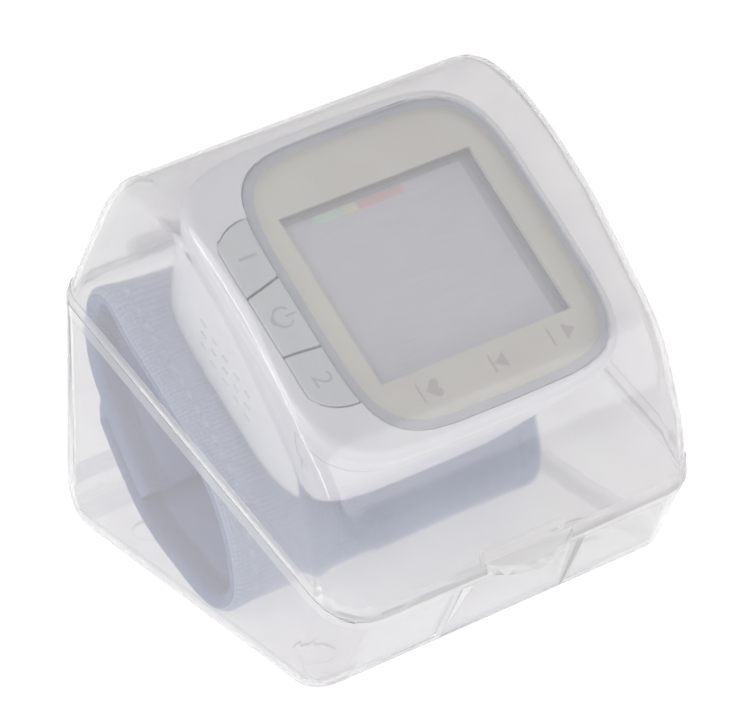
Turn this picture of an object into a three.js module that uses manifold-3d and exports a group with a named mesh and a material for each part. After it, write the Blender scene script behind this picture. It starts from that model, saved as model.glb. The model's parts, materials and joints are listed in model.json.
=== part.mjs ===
// A wrist blood pressure monitor lying in its shut storage case.
// Millimetres, +Z up. The case stands on z = 0 and its front faces -Y.
// The monitor is built flat in a frame of its own, z = 0 on its display face, then tilted into the case.
import * as THREE from "three";
import { mergeVertices } from "three/addons/utils/BufferGeometryUtils.js";
import Module from "manifold-3d";

const wasm = await Module();
wasm.setup();

// Fits
const GAP = 0.3;
const SLIDE_GAP = 0.25;
const OVER = 1;
const FAR = 60;

// Storage case
const CASE_WALL = 1.2;
const CASE_HALF_WIDTH = 42.7;
const CASE_FRONT_CORNER_R = 9;
const CASE_BACK_CORNER_R = 6;
const CASE_EDGE_R = 4;
const CASE_BOTTOM_FRONT_Y = -35.1;
const CASE_BOTTOM_BACK_Y = 46.4;
const CASE_BOTTOM_R = 9.5;
const SEAM_Z = 36.3;
const SEAM_SLOPE = THREE.MathUtils.degToRad(19.4);
const SEAM_FRONT_Y = -44.8;
const SEAM_BACK_Y = 43.7;
const LID_BACK_LEAN = THREE.MathUtils.degToRad(26.6);
const LID_TOP_Y = 16;
const LID_ROOM = 0.255;
// Points of the lid: y, and drop below its top
const LID_CURVE = [
  [7, 1.6],
  [-4, 6.9],
  [-15.6, 15],
  [-27.4, 26.1],
  [-36.4, 36],
  [-41.2, 46.4],
  [-43.9, 55.6],
];
const LID_BACK_RISE = 20.4;
const LID_TOP_BACK_PULL = 9.5;
const RIM_OUT = 0.8;
const RIM_HEIGHT = 2.4;
const HINGE_PIN_R = 0.8;
const HINGE_PIN_HEAD = 0.8;
const HINGE_KNUCKLE_R = 1.9;
const HINGE_LID_HALF = 14;
const HINGE_BASE_LENGTH = 8;
const LIP_HALF_WIDTH = 10.4;
const LIP_REACH = 3.2;
const RECESS_HALF_WIDTH = 14.5;
const RECESS_DEPTH = 1.4;
const RECESS_FOOT = 3.5;
const TONGUE_HALF_WIDTH = 9.6;
const TONGUE_THICK = 1.1;
const TONGUE_RISE = 3.4;
const TONGUE_ROOT = 5;
const TONGUE_WINDOW = 2.2;
const TONGUE_MARGIN = 1;
const FOOT_MARK_R = 3.6;
const FOOT_MARK_DEPTH = 0.5;
const FOOT_MARK_X = 32;
const FOOT_MARK_Y = [-22, 29];

// Monitor housing
const TILT = THREE.MathUtils.degToRad(34);
const MONITOR_X = -0.6;
const MONITOR_Y = -8.65;
const ROUND_POWER = 4.8;
const HOUSING_HALF_X = 36.6;
const HOUSING_HALF_Y = 33.4;
const HOUSING_DEPTH = 29.2;
const HOUSING_WALL = 1.6;
const TOP_EDGE_R = 2;
const TAPER_X = 6.6;
const TAPER_Y = 5.4;
const TOP_FLOOR = 0.9;

// Display
const DISPLAY_X = 5.4;
const LENS_X = 5.1;
const LENS_HALF_X = 29.3;
const LENS_MARGIN = 2.7;
const LENS_HALF_Y = HOUSING_HALF_Y - LENS_MARGIN;
const LENS_THICK = 1.2;
const LENS_BEVEL = 1.6;
const LENS_BEVEL_DROP = 0.6;
const MASK_THICK = 0.4;
const WINDOW_X = 44.8;
const WINDOW_Y = 36.9;
const WINDOW_MARGIN = 0.5;
const LCD_BORDER = 2.4;
const LCD_THICK = 1.8;
const FRAME_LIP = 0.5;
const FRAME_WALL = 0.9;
const FRAME_DEPTH = 3.2;
const STRIP_WIDTH = 2;
const STRIP_INSET = 1.5;

// Keys
const KEY_OUTER_X = -32.3;
const KEY_END_Y = 20.3;
const KEY_END_RISE = 4.6;
const KEY_SPLITS = [
  [5.8, 7.6],
  [-7.1, -7.7],
];
const KEY_GAP = 0.45;
const KEY_PROUD = 0.35;
const KEY_TRAVEL = 0.8;
const KEY_TAB = 0.6;
const KEY_TAB_WIDTH = 6;
const KEY_TAB_THICK = 0.6;
const KEY_STEM_R = 1.5;
const KEY_STEM_LENGTH = 0.9;
const SWITCH_SIZE = 6;
const SWITCH_HEIGHT = 2.5;
const PLUNGER_R = 1.3;
const PLUNGER_LENGTH = 2;
const BOARD_THICK = 1.2;
const BOARD_ROOM = 0.9;

// Power
const CELL_R = 5.1;
const CELL_LENGTH = 44.5;
const CELL_NIPPLE_R = 1.9;
const CELL_NIPPLE = 0.8;
const CELL_FRONT = 10.2;
const CELL_STAGGER = 2.7;
const CELL_SPACE = 0.45;
const CELL_DROP = 1.9;
const CONTACT_THICK = 0.4;
const CONTACT_HALF = 4;
const SPRING_ROOM = 3.2;
const SPRING_R = 3;
const SPRING_WIRE = 0.35;
const SPRING_TIP_R = 2;
const SPRING_TURNS = 3;
const BAY_WALL = 1.2;
const BAY_ROOM = 0.5;
const COVER_TOP = -6.5;
const COVER_EDGE_Y = -18.6;
const COVER_SLANT = THREE.MathUtils.degToRad(12);
const DENT_R = 6;
const DENT_DEPTH = 0.7;

// Sound outlet
const SPEAKER_R = 6;
const SPEAKER_THICK = 2.8;
const SPEAKER_SEAT = 0.8;
const SPEAKER_RING = 0.8;
const SPEAKER_LEDGE = 0.6;
const SPEAKER_Y = 1;
const SLOT_LENGTH = 1.9;
const SLOT_WIDTH = 0.8;
const SLOT_ROWS = 5;
const SLOT_COLUMNS = 3;
const SLOT_ROW_PITCH = 4;
const SLOT_COLUMN_PITCH = 3.6;
const SLOT_STAGGER = 0.8;
const SLOT_RISE = 0.75;

// Air system
const PUMP_R = 6.2;
const PUMP_LENGTH = 19;
const PUMP_X = -1;
const PUMP_Y = 17.5;
const PUMP_HEAD = 12.4;
const PUMP_BOSS_R = 2;
const PUMP_BOSS = 1;
const VALVE = [12, 9, 9];
const VALVE_X = 8;
const VALVE_Y = -3.5;
const MANIFOLD = 8;
const MANIFOLD_X = -5;
const MANIFOLD_Y = 0;
const TUBE_R = 1.75;
const TUBE_BORE_R = 0.9;
const TUBE_VALVE_Y = -2;
const TUBE_RISE = 1.2;
const MANIFOLD_ROOF = 1;
const SENSOR = [8, 8, 3];
const SENSOR_PORT = 1;
const SADDLE_HEIGHT = 1;
const SADDLE_INSET = 1.5;

// Bottom cover and its screws
const PLATE_THICK = 1.6;
const BOSS_X = 22.5;
const BOSS_BACK = 13.4;
const BOSS_R = 2.4;
const BOSS_RIB = 1.2;
const SCREW_R = 0.9;
const SCREW_HEAD_R = 1.8;
const SCREW_HEAD = 0.8;
const SCREW_LENGTH = 8;
const CUFF_SCREW_LENGTH = 3.6;
const SCREW_SLOT = 0.5;

// Cuff
const CUFF_LEFT_X = -39.2;
const CUFF_RIGHT_X = 33;
// Points of the loop: y, and height above the underside of the housing
const CUFF_PATH = [
  [-3.5, -25.7],
  [6, -23],
  [15.5, -19.4],
  [23, -15.2],
  [26.4, -10.2],
  [24.4, -5.6],
  [15.5, -3.9],
  [4, -3.9],
  [-9, -5],
  [-18.5, -8.4],
  [-25.5, -13.6],
  [-29, -18.8],
  [-27.6, -23.8],
  [-22, -26.8],
  [-13, -27.4],
];
const CUFF_STEPS = 80;
const CUFF_THICK = 3.1;
const CUFF_CLOTH = 0.6;
const CUFF_HEM = 1.6;
const POCKET_START_SHARE = 0.02;
const POCKET_END_SHARE = 0.88;
const BLADDER_THICK = 0.6;
const BLADDER_INSET = 2;
const BLADDER_START_SHARE = 0.05;
const BLADDER_END_SHARE = 0.85;
const STIFFENER_THICK = 0.4;
const STIFFENER_START_SHARE = 0.03;
const STIFFENER_END_SHARE = 0.87;
const FLAP_THICK = 1.5;
const FLAP_RISE_START_SHARE = 0.86;
const FLAP_SHARE = 0.17;
const HOOK_THICK = 0.6;
const HOOK_START_SHARE = 0.02;
const HOOK_END_SHARE = 0.15;
const HOOK_INSET = 5;
const INLET_R = 1.5;
const INLET_BORE_R = 0.8;
const INLET_RISE = 2.6;
const CLAMP_X = 12;
const CLAMP_Y = 9;
const CLAMP_BOSS_R = 2.4;

// Materials
const paint = (color, roughness, metalness = 0, opacity = 1) =>
  new THREE.MeshStandardMaterial({ color, roughness, metalness, opacity, transparent: opacity < 1 });
const FROSTED = paint("#e9ecee", 0.35, 0, 0.35);
const WHITE = paint("#eceef2", 0.25);
const KEY_GREY = paint("#aeb3ba", 0.45);
const CLEAR = paint("#e6e8e8", 0.08, 0, 0.3);
const PRINT = paint("#cfcdc4", 0.5);
const LCD_GREY = paint("#b9bfc6", 0.3);
const DARK = paint("#3c4046", 0.6);
const RUBBER = paint("#2f3236", 0.85);
const BOARD = paint("#2d6a45", 0.55);
const STEEL = paint("#b8bcc0", 0.3, 0.9);
const NICKEL = paint("#c9c6bd", 0.35, 0.9);
const CELL = paint("#50555c", 0.4, 0.3);
const SILICONE = paint("#dcdcd6", 0.6);
const CLOTH = paint("#8793a6", 0.95);
const LEAF = paint("#d5d8da", 0.5);
const HOOK = paint("#6d7789", 0.95);

// Solids
const solid = (geometry) => {
  const bare = geometry.index ? geometry.toNonIndexed() : geometry;
  const points = new THREE.BufferGeometry().setAttribute("position", bare.getAttribute("position"));
  const welded = mergeVertices(points, 1e-4);
  const vertProperties = welded.attributes.position.array;
  const triVerts = new Uint32Array(welded.index.array);
  return new wasm.Manifold(new wasm.Mesh({ numProp: 3, vertProperties, triVerts }));
};
const geometryOf = (body) => {
  const mesh = body.getMesh();
  const geometry = new THREE.BufferGeometry();
  geometry.setAttribute("position", new THREE.BufferAttribute(new Float32Array(mesh.vertProperties), 3));
  geometry.setIndex(new THREE.BufferAttribute(new Uint32Array(mesh.triVerts), 1));
  const faceted = geometry.toNonIndexed();
  faceted.computeVertexNormals();
  return faceted;
};
const join = (...bodies) => bodies.reduce((a, b) => a.add(b));
const cut = (body, ...tools) => tools.reduce((a, b) => a.subtract(b), body);
const common = (a, b) => a.intersect(b);

// A body through rings of points, closed by a fan at both ends.
function loft(rings) {
  const count = rings[0].length;
  const points = rings.flat();
  const middle = (ring) => ring.reduce((a, p) => a.add(p), new THREE.Vector3()).divideScalar(count);
  const first = points.push(middle(rings[0])) - 1;
  const last = points.push(middle(rings.at(-1))) - 1;
  const index = [];
  const top = (rings.length - 1) * count;
  for (let i = 0; i < count; i++) {
    const j = (i + 1) % count;
    for (let k = 0; k < rings.length - 1; k++) {
      const a = k * count;
      index.push(a + i, a + j, a + count + j, a + i, a + count + j, a + count + i);
    }
    index.push(first, j, i, last, top + i, top + j);
  }
  const geometry = new THREE.BufferGeometry().setFromPoints(points);
  geometry.setIndex(index);
  return solid(geometry);
}
function block(x0, x1, y0, y1, z0, z1) {
  const geometry = new THREE.BoxGeometry(x1 - x0, y1 - y0, z1 - z0);
  geometry.translate((x0 + x1) / 2, (y0 + y1) / 2, (z0 + z1) / 2);
  return solid(geometry);
}
// An outline in x and y, raised from z0 to z1.
function plate(outline, z0, z1) {
  const shape = new THREE.Shape(outline.map(([x, y]) => new THREE.Vector2(x, y)));
  const geometry = new THREE.ExtrudeGeometry(shape, { depth: z1 - z0, bevelEnabled: false });
  geometry.translate(0, 0, z0);
  return solid(geometry);
}
// An outline in y and z, drawn from x0 to x1.
function slab(outline, x0, x1) {
  const shape = new THREE.Shape(outline.map(([y, z]) => new THREE.Vector2(y, z)));
  const geometry = new THREE.ExtrudeGeometry(shape, { depth: x1 - x0, bevelEnabled: false });
  geometry.translate(0, 0, x0);
  const turn = new THREE.Matrix4();
  turn.makeBasis(new THREE.Vector3(0, 1, 0), new THREE.Vector3(0, 0, 1), new THREE.Vector3(1, 0, 0));
  geometry.applyMatrix4(turn);
  return solid(geometry);
}
function rodX(r, x0, x1, y, z, sides = 20) {
  const geometry = new THREE.CylinderGeometry(r, r, x1 - x0, sides);
  geometry.rotateZ(Math.PI / 2);
  geometry.translate((x0 + x1) / 2, y, z);
  return solid(geometry);
}
function rodY(r, y0, y1, x, z, sides = 16) {
  const geometry = new THREE.CylinderGeometry(r, r, y1 - y0, sides);
  geometry.translate(x, (y0 + y1) / 2, z);
  return solid(geometry);
}
function rodZ(r, z0, z1, x, y, sides = 16) {
  const geometry = new THREE.CylinderGeometry(r, r, z1 - z0, sides);
  geometry.rotateX(Math.PI / 2);
  geometry.translate(x, y, (z0 + z1) / 2);
  return solid(geometry);
}
const rectangle = (width, height, cx = 0, cy = 0) => [
  [cx - width / 2, cy - height / 2],
  [cx + width / 2, cy - height / 2],
  [cx + width / 2, cy + height / 2],
  [cx - width / 2, cy + height / 2],
];
// A rounded square whose sides bow out.
function bowedSquare(a, b, cx = 0, cy = 0, steps = 40) {
  const outline = [];
  for (let i = 0; i < steps; i++) {
    const angle = (2 * Math.PI * i) / steps;
    const bow = (value) => Math.sign(value) * Math.abs(value) ** (2 / ROUND_POWER);
    outline.push([cx + a * bow(Math.cos(angle)), cy + b * bow(Math.sin(angle))]);
  }
  return outline;
}

const raised = (outline, z) => outline.map(([x, y]) => new THREE.Vector3(x, y, z));

// Cuff path: the inner face of the band, which passes its own start on the outside
const cuffCurve = new THREE.CatmullRomCurve3(
  CUFF_PATH.map(([y, above]) => new THREE.Vector3(0, y, above - HOUSING_DEPTH)),
  true,
  "centripetal",
);
const cuffLoop = cuffCurve.getSpacedPoints(CUFF_STEPS).slice(0, CUFF_STEPS);
const cuffNormals = cuffLoop.map((p, i) => {
  const along = cuffLoop[(i + 1) % CUFF_STEPS].clone().sub(cuffLoop.at(i - 1)).normalize();
  return new THREE.Vector3(0, along.z, -along.y);
});
const flapLift = CUFF_THICK + HOOK_THICK + 2 * GAP;
const easeFlap = (t) => THREE.MathUtils.smoothstep(t, FLAP_RISE_START_SHARE, 1) * flapLift;
function cuffPoint(step, out) {
  const i = step % CUFF_STEPS;
  return [cuffLoop[i].y + cuffNormals[i].y * out, cuffLoop[i].z + cuffNormals[i].z * out];
}
// A strip of the cuff between two shares of the way round and two depths.
function cuffStrip(from, to, inner, outer, x0, x1) {
  const a = Math.round(from * CUFF_STEPS);
  const b = Math.round(to * CUFF_STEPS);
  const inside = [];
  const outside = [];
  for (let step = a; step <= b; step++) {
    const t = step / CUFF_STEPS;
    inside.push(cuffPoint(step, easeFlap(t) + inner(t)));
    outside.push(cuffPoint(step, easeFlap(t) + outer(t)));
  }
  return slab([...outside, ...inside.reverse()].reverse(), x0, x1);
}
const level = (value) => () => value;
const bandThick = (t) => {
  const ease = THREE.MathUtils.smoothstep(t, FLAP_RISE_START_SHARE, 1);
  return THREE.MathUtils.lerp(CUFF_THICK, FLAP_THICK, ease);
};
const cuffLowest = () => {
  let low = 0;
  for (let step = 0; step <= (1 + FLAP_SHARE) * CUFF_STEPS; step++) {
    const t = step / CUFF_STEPS;
    const [y, z] = cuffPoint(step, easeFlap(t) + bandThick(t));
    low = Math.min(low, y * Math.sin(TILT) + z * Math.cos(TILT));
  }
  return low;
};
const monitorZ = CASE_WALL + 2 * GAP - cuffLowest();
const lidTopZ = monitorZ + HOUSING_HALF_Y * Math.sin(TILT) + CASE_WALL + LID_ROOM;

// The case's side profile in y and z, counter-clockwise seen from +X
const seamZ = (y) => SEAM_Z + y * Math.tan(SEAM_SLOPE);
function fillet(before, corner, after, radius, steps) {
  const p = new THREE.Vector2(...corner);
  const u = new THREE.Vector2(...before).sub(p).normalize();
  const w = new THREE.Vector2(...after).sub(p).normalize();
  const half = Math.acos(u.dot(w)) / 2;
  const centre = u.clone().add(w).normalize().multiplyScalar(radius / Math.sin(half)).add(p);
  const start = u.clone().multiplyScalar(radius / Math.tan(half)).add(p).sub(centre);
  const end = w.clone().multiplyScalar(radius / Math.tan(half)).add(p).sub(centre);
  const sweep = Math.atan2(start.cross(end), start.dot(end));
  const points = [];
  for (let i = 0; i <= steps; i++) {
    const q = start.clone().rotateAround(new THREE.Vector2(), (sweep * i) / steps).add(centre);
    points.push([q.x, q.y]);
  }
  return points;
}
function caseProfile() {
  const front = [SEAM_FRONT_Y, seamZ(SEAM_FRONT_Y)];
  const back = [SEAM_BACK_Y, seamZ(SEAM_BACK_Y)];
  const bottomFront = [CASE_BOTTOM_FRONT_Y, 0];
  const bottomBack = [CASE_BOTTOM_BACK_Y, 0];
  const lean = [-Math.sin(LID_BACK_LEAN), Math.cos(LID_BACK_LEAN)];
  const wallTop = new THREE.Vector2(...back).addScaledVector(new THREE.Vector2(...lean), LID_BACK_RISE);
  const pull = wallTop.clone().addScaledVector(new THREE.Vector2(...lean), LID_TOP_BACK_PULL);
  const top = new THREE.Vector2(LID_TOP_Y, lidTopZ);
  const topPull = top.clone().add(new THREE.Vector2(LID_TOP_BACK_PULL, 0));
  const shoulder = new THREE.CubicBezierCurve(wallTop, pull, topPull, top).getPoints(9);
  const crown = LID_CURVE.map(([y, drop]) => new THREE.Vector2(y, lidTopZ - drop));
  const slope = new THREE.SplineCurve([top, ...crown, new THREE.Vector2(...front)]).getSpacedPoints(20);
  return [
    ...fillet(front, bottomFront, bottomBack, CASE_BOTTOM_R, 6),
    ...fillet(bottomFront, bottomBack, back, CASE_BOTTOM_R, 7),
    back,
    ...shoulder.map((p) => [p.x, p.y]),
    ...slope.slice(1).map((p) => [p.x, p.y]),
  ];
}
const profile = caseProfile();
const profileNormals = profile.map((p, i) => {
  const a = new THREE.Vector2(...profile.at(i - 1));
  const b = new THREE.Vector2(...profile[(i + 1) % profile.length]);
  const here = new THREE.Vector2(...p);
  const before = here.clone().sub(a).normalize();
  const after = b.sub(here).normalize();
  const along = before.add(after).normalize();
  return new THREE.Vector2(along.y, -along.x);
});
// The filled case, grown or shrunk by a distance, with its side edges rounded.
function caseBody(grow, steps) {
  const half = CASE_HALF_WIDTH + grow;
  const ring = (side, k) =>
    profile.map(([y, z], i) => {
      const n = profileNormals[i];
      const corner = n.x > 0 ? CASE_BACK_CORNER_R : CASE_FRONT_CORNER_R;
      const radius = CASE_EDGE_R + (corner - CASE_EDGE_R) * n.x * n.x + grow;
      const angle = ((Math.PI / 2) * k) / steps;
      const out = grow - radius * (1 - Math.cos(angle));
      const x = side * (half - radius * (1 - Math.sin(angle)));
      return new THREE.Vector3(x, y + n.x * out, z + n.y * out);
    });
  const rings = [];
  for (let k = steps; k >= 0; k--) rings.push(ring(-1, k));
  for (let k = 0; k <= steps; k++) rings.push(ring(1, k));
  return loft(rings);
}
const seamNormal = [0, -Math.sin(SEAM_SLOPE), Math.cos(SEAM_SLOPE)];
const seamOffset = SEAM_Z * Math.cos(SEAM_SLOPE);
const above = (body, n) => body.trimByPlane(seamNormal, seamOffset + n);
const below = (body, n) => body.trimByPlane(seamNormal.map((c) => -c), -(seamOffset + n));

// Case base and lid
const caseOuter = caseBody(0, 5);
const caseInner = caseBody(-CASE_WALL, 3);
const caseRim = caseBody(RIM_OUT, 5);
const frontZ = seamZ(SEAM_FRONT_Y);
const frontLean = Math.atan2(CASE_BOTTOM_FRONT_Y - SEAM_FRONT_Y, frontZ);
const hingeOut = RIM_OUT + HINGE_KNUCKLE_R;
const hinge = {
  y: SEAM_BACK_Y + hingeOut * Math.cos(SEAM_SLOPE),
  z: seamZ(SEAM_BACK_Y) + hingeOut * Math.sin(SEAM_SLOPE),
};
// The thumb recess, as a block laid against the leaning front wall.
function recess(grow) {
  const geometry = new THREE.BoxGeometry(2 * (RECESS_HALF_WIDTH + grow), 2 * (RECESS_DEPTH + grow), FAR);
  geometry.translate(0, 0, FAR / 2 + RECESS_FOOT - grow);
  geometry.rotateX(frontLean);
  geometry.translate(0, CASE_BOTTOM_FRONT_Y, 0);
  return solid(geometry);
}
// One knuckle with the web that carries it to the rim above (side 1) or below (side -1) the seam.
function knuckle(x0, x1, side) {
  const cos = Math.cos(SEAM_SLOPE);
  const sin = Math.sin(SEAM_SLOPE);
  const at = (inward, up) => [hinge.y - inward * cos - up * sin, hinge.z - inward * sin + up * cos];
  const reach = hingeOut + CASE_WALL / 2;
  const low = Math.min(side * GAP, side * HINGE_KNUCKLE_R);
  const high = Math.max(side * GAP, side * HINGE_KNUCKLE_R);
  const web = slab([at(reach, low), at(0, low), at(0, high), at(reach, high)], x0, x1);
  return join(rodX(HINGE_KNUCKLE_R, x0, x1, hinge.y, hinge.z), web);
}
const hingeClear = (x0, x1) => rodX(HINGE_KNUCKLE_R + GAP, x0 - GAP, x1 + GAP, hinge.y, hinge.z);
const hingeBaseX = HINGE_LID_HALF + GAP;
const pinBore = rodX(HINGE_PIN_R + SLIDE_GAP, -CASE_HALF_WIDTH, CASE_HALF_WIDTH, hinge.y, hinge.z);
const baseKnuckles = [-1, 1].map((side) => {
  const a = side * hingeBaseX;
  const b = side * (hingeBaseX + HINGE_BASE_LENGTH);
  return [Math.min(a, b), Math.max(a, b)];
});

function caseBase() {
  const filled = join(cut(caseOuter, recess(0)), above(caseRim, -RIM_HEIGHT));
  const tray = below(cut(filled, cut(caseInner, recess(CASE_WALL))), -GAP / 2);
  const tongueY = SEAM_FRONT_Y + CASE_WALL + 2 * GAP;
  const tongue = slab(
    [
      [tongueY, frontZ - TONGUE_ROOT],
      [tongueY + TONGUE_THICK, frontZ - TONGUE_ROOT],
      [tongueY + TONGUE_THICK, frontZ + TONGUE_RISE],
      [tongueY, frontZ + TONGUE_RISE],
    ],
    -TONGUE_HALF_WIDTH,
    TONGUE_HALF_WIDTH,
  );
  const windowX = TONGUE_HALF_WIDTH - TONGUE_WINDOW - TONGUE_MARGIN;
  const windowTop = frontZ + TONGUE_RISE - TONGUE_MARGIN;
  const tongueWindow = block(
    windowX,
    windowX + TONGUE_WINDOW,
    tongueY - OVER,
    tongueY + TONGUE_THICK + OVER,
    windowTop - TONGUE_WINDOW / 2,
    windowTop,
  );
  let body = cut(tray, hingeClear(-HINGE_LID_HALF, HINGE_LID_HALF));
  body = join(body, cut(common(tongue, caseInner), tongueWindow));
  baseKnuckles.forEach(([x0, x1]) => {
    body = join(body, knuckle(x0, x1, -1));
  });
  body = cut(body, pinBore);
  for (const side of [-1, 1])
    for (const y of FOOT_MARK_Y)
      body = cut(body, rodZ(FOOT_MARK_R, -OVER, FOOT_MARK_DEPTH, side * FOOT_MARK_X, y, 20));
  return body;
}
function caseLid() {
  const lipOutline = [];
  const lipSteps = 14;
  for (let i = 0; i <= lipSteps; i++) {
    const t = -1 + (2 * i) / lipSteps;
    lipOutline.push([t * LIP_HALF_WIDTH, SEAM_FRONT_Y - RIM_OUT - LIP_REACH * (1 - t * t)]);
  }
  lipOutline.push([LIP_HALF_WIDTH, SEAM_FRONT_Y - RIM_OUT + OVER]);
  lipOutline.push([-LIP_HALF_WIDTH, SEAM_FRONT_Y - RIM_OUT + OVER]);
  const lip = below(plate(lipOutline, frontZ - 2 * LIP_REACH, frontZ + 2 * LIP_REACH), RIM_HEIGHT - GAP);
  const filled = join(caseOuter, below(caseRim, RIM_HEIGHT), lip);
  let body = above(cut(filled, caseInner), GAP / 2);
  baseKnuckles.forEach(([x0, x1]) => {
    body = cut(body, hingeClear(x0, x1));
  });
  body = join(body, knuckle(-HINGE_LID_HALF, HINGE_LID_HALF, 1));
  return cut(body, pinBore);
}
function hingePin() {
  const end = hingeBaseX + HINGE_BASE_LENGTH + GAP;
  const headR = HINGE_PIN_R + 2 * GAP;
  const shaft = rodX(HINGE_PIN_R, -end - HINGE_PIN_HEAD / 2, end + HINGE_PIN_HEAD / 2, hinge.y, hinge.z);
  const head = rodX(headR, end, end + HINGE_PIN_HEAD, hinge.y, hinge.z);
  const tail = rodX(headR, -end - HINGE_PIN_HEAD, -end, hinge.y, hinge.z);
  return join(shaft, head, tail);
}

// Cuff
const upperRun = cuffLoop.filter((p) => p.z > -HOUSING_DEPTH - 3 * CUFF_THICK);
const nearer = (a, b) => (Math.abs(b.y - CLAMP_Y) < Math.abs(a.y - CLAMP_Y) ? b : a);
const underHousing = upperRun.reduce(nearer);
const bladderDepth = CUFF_CLOTH + GAP;
const leafDepth = bladderDepth + BLADDER_THICK + GAP;
const inletTop = -HOUSING_DEPTH + PLATE_THICK + INLET_RISE;
const leafZ = underHousing.z + leafDepth;
const leafTopZ = leafZ + STIFFENER_THICK;
const clampSpots = [-CLAMP_X, CLAMP_X];

function cuffCover() {
  const band = cuffStrip(0, 1 + FLAP_SHARE, level(0), bandThick, CUFF_LEFT_X, CUFF_RIGHT_X);
  const pocket = cuffStrip(
    POCKET_START_SHARE,
    POCKET_END_SHARE,
    level(CUFF_CLOTH),
    (t) => bandThick(t) - CUFF_CLOTH,
    CUFF_LEFT_X + CUFF_HEM,
    CUFF_RIGHT_X - CUFF_HEM,
  );
  let body = cut(band, pocket);
  const through = underHousing.z + CUFF_THICK / 2;
  body = cut(body, rodZ(INLET_R + GAP, through, inletTop, MANIFOLD_X, MANIFOLD_Y));
  clampSpots.forEach((x) => {
    body = cut(body, rodZ(CLAMP_BOSS_R + GAP, through, inletTop, x, CLAMP_Y));
  });
  return body;
}
function cuffStiffener() {
  const x0 = CUFF_LEFT_X + CUFF_HEM + GAP;
  const x1 = CUFF_RIGHT_X - CUFF_HEM - GAP;
  const outer = level(leafDepth + STIFFENER_THICK);
  const leaf = cuffStrip(STIFFENER_START_SHARE, STIFFENER_END_SHARE, level(leafDepth), outer, x0, x1);
  let body = cut(leaf, rodZ(INLET_R + GAP, leafZ - OVER, leafTopZ + OVER, MANIFOLD_X, MANIFOLD_Y));
  clampSpots.forEach((x) => {
    body = join(body, rodZ(CLAMP_BOSS_R, leafZ + STIFFENER_THICK / 2, -HOUSING_DEPTH - GAP, x, CLAMP_Y));
    body = cut(body, rodZ(SCREW_R + SLIDE_GAP, leafZ - OVER, 0, x, CLAMP_Y));
  });
  return body;
}
function airBladder() {
  const x0 = CUFF_LEFT_X + CUFF_HEM + BLADDER_INSET;
  const x1 = CUFF_RIGHT_X - CUFF_HEM - BLADDER_INSET;
  const outer = level(bladderDepth + BLADDER_THICK);
  const bag = cuffStrip(BLADDER_START_SHARE, BLADDER_END_SHARE, level(bladderDepth), outer, x0, x1);
  const nipple = rodZ(INLET_R, underHousing.z + bladderDepth, inletTop, MANIFOLD_X, MANIFOLD_Y);
  const bore = rodZ(INLET_BORE_R, underHousing.z - OVER, inletTop + OVER, MANIFOLD_X, MANIFOLD_Y);
  return cut(join(bag, nipple), bore);
}
function hookTape() {
  const x0 = CUFF_LEFT_X + HOOK_INSET;
  const x1 = CUFF_RIGHT_X - HOOK_INSET;
  const rise = CUFF_THICK + GAP;
  return cuffStrip(HOOK_START_SHARE, HOOK_END_SHARE, level(rise), level(rise + HOOK_THICK), x0, x1);
}

// Housing
const wallHalf = (z) => {
  const share = Math.max(0, (-z - TOP_EDGE_R) / (HOUSING_DEPTH - TOP_EDGE_R));
  return [HOUSING_HALF_X - TAPER_X * share, HOUSING_HALF_Y - TAPER_Y * share];
};
const ringAt = (z, inset) => {
  const [a, b] = wallHalf(z);
  return raised(bowedSquare(a - inset, b - inset), z);
};
function housingBody() {
  const rings = [ringAt(-HOUSING_DEPTH, 0)];
  const steps = 4;
  for (let k = 0; k <= steps; k++) {
    const angle = ((Math.PI / 2) * k) / steps;
    rings.push(ringAt(-TOP_EDGE_R * (1 - Math.sin(angle)), TOP_EDGE_R * (1 - Math.cos(angle))));
  }
  return loft(rings);
}
const housingOuter = housingBody();
const lensSeat = -LENS_THICK - MASK_THICK - 2 * GAP;
const ceiling = lensSeat - TOP_FLOOR;
const housingInner = loft([ringAt(-HOUSING_DEPTH - OVER, HOUSING_WALL), ringAt(ceiling, HOUSING_WALL)]);
const housingRoom = loft([
  ringAt(-HOUSING_DEPTH - OVER, HOUSING_WALL + GAP),
  ringAt(ceiling - GAP, HOUSING_WALL + GAP),
]);
const plateTop = -HOUSING_DEPTH + PLATE_THICK;
const frameTop = ceiling - GAP;
const lcdTop = frameTop - FRAME_LIP - GAP;
const frameX = WINDOW_X + 2 * LCD_BORDER + 2 * (GAP + FRAME_WALL);
const frameY = WINDOW_Y + 2 * LCD_BORDER + 2 * (GAP + FRAME_WALL);

// Keys lie between a straight outer line and the edge of the lens.
const lensEdgeX = (y, grow) => {
  const share = Math.abs(y / (LENS_HALF_Y + grow)) ** ROUND_POWER;
  return LENS_X - (LENS_HALF_X + grow) * (1 - share) ** (1 / ROUND_POWER);
};
function keyEnd(x, sign) {
  const inner = lensEdgeX(KEY_END_Y, GAP);
  const share = THREE.MathUtils.clamp((inner - x) / (inner - KEY_OUTER_X), 0, 1);
  return sign * (KEY_END_Y - KEY_END_RISE * (1 - Math.sqrt(1 - share * share)));
}
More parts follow.
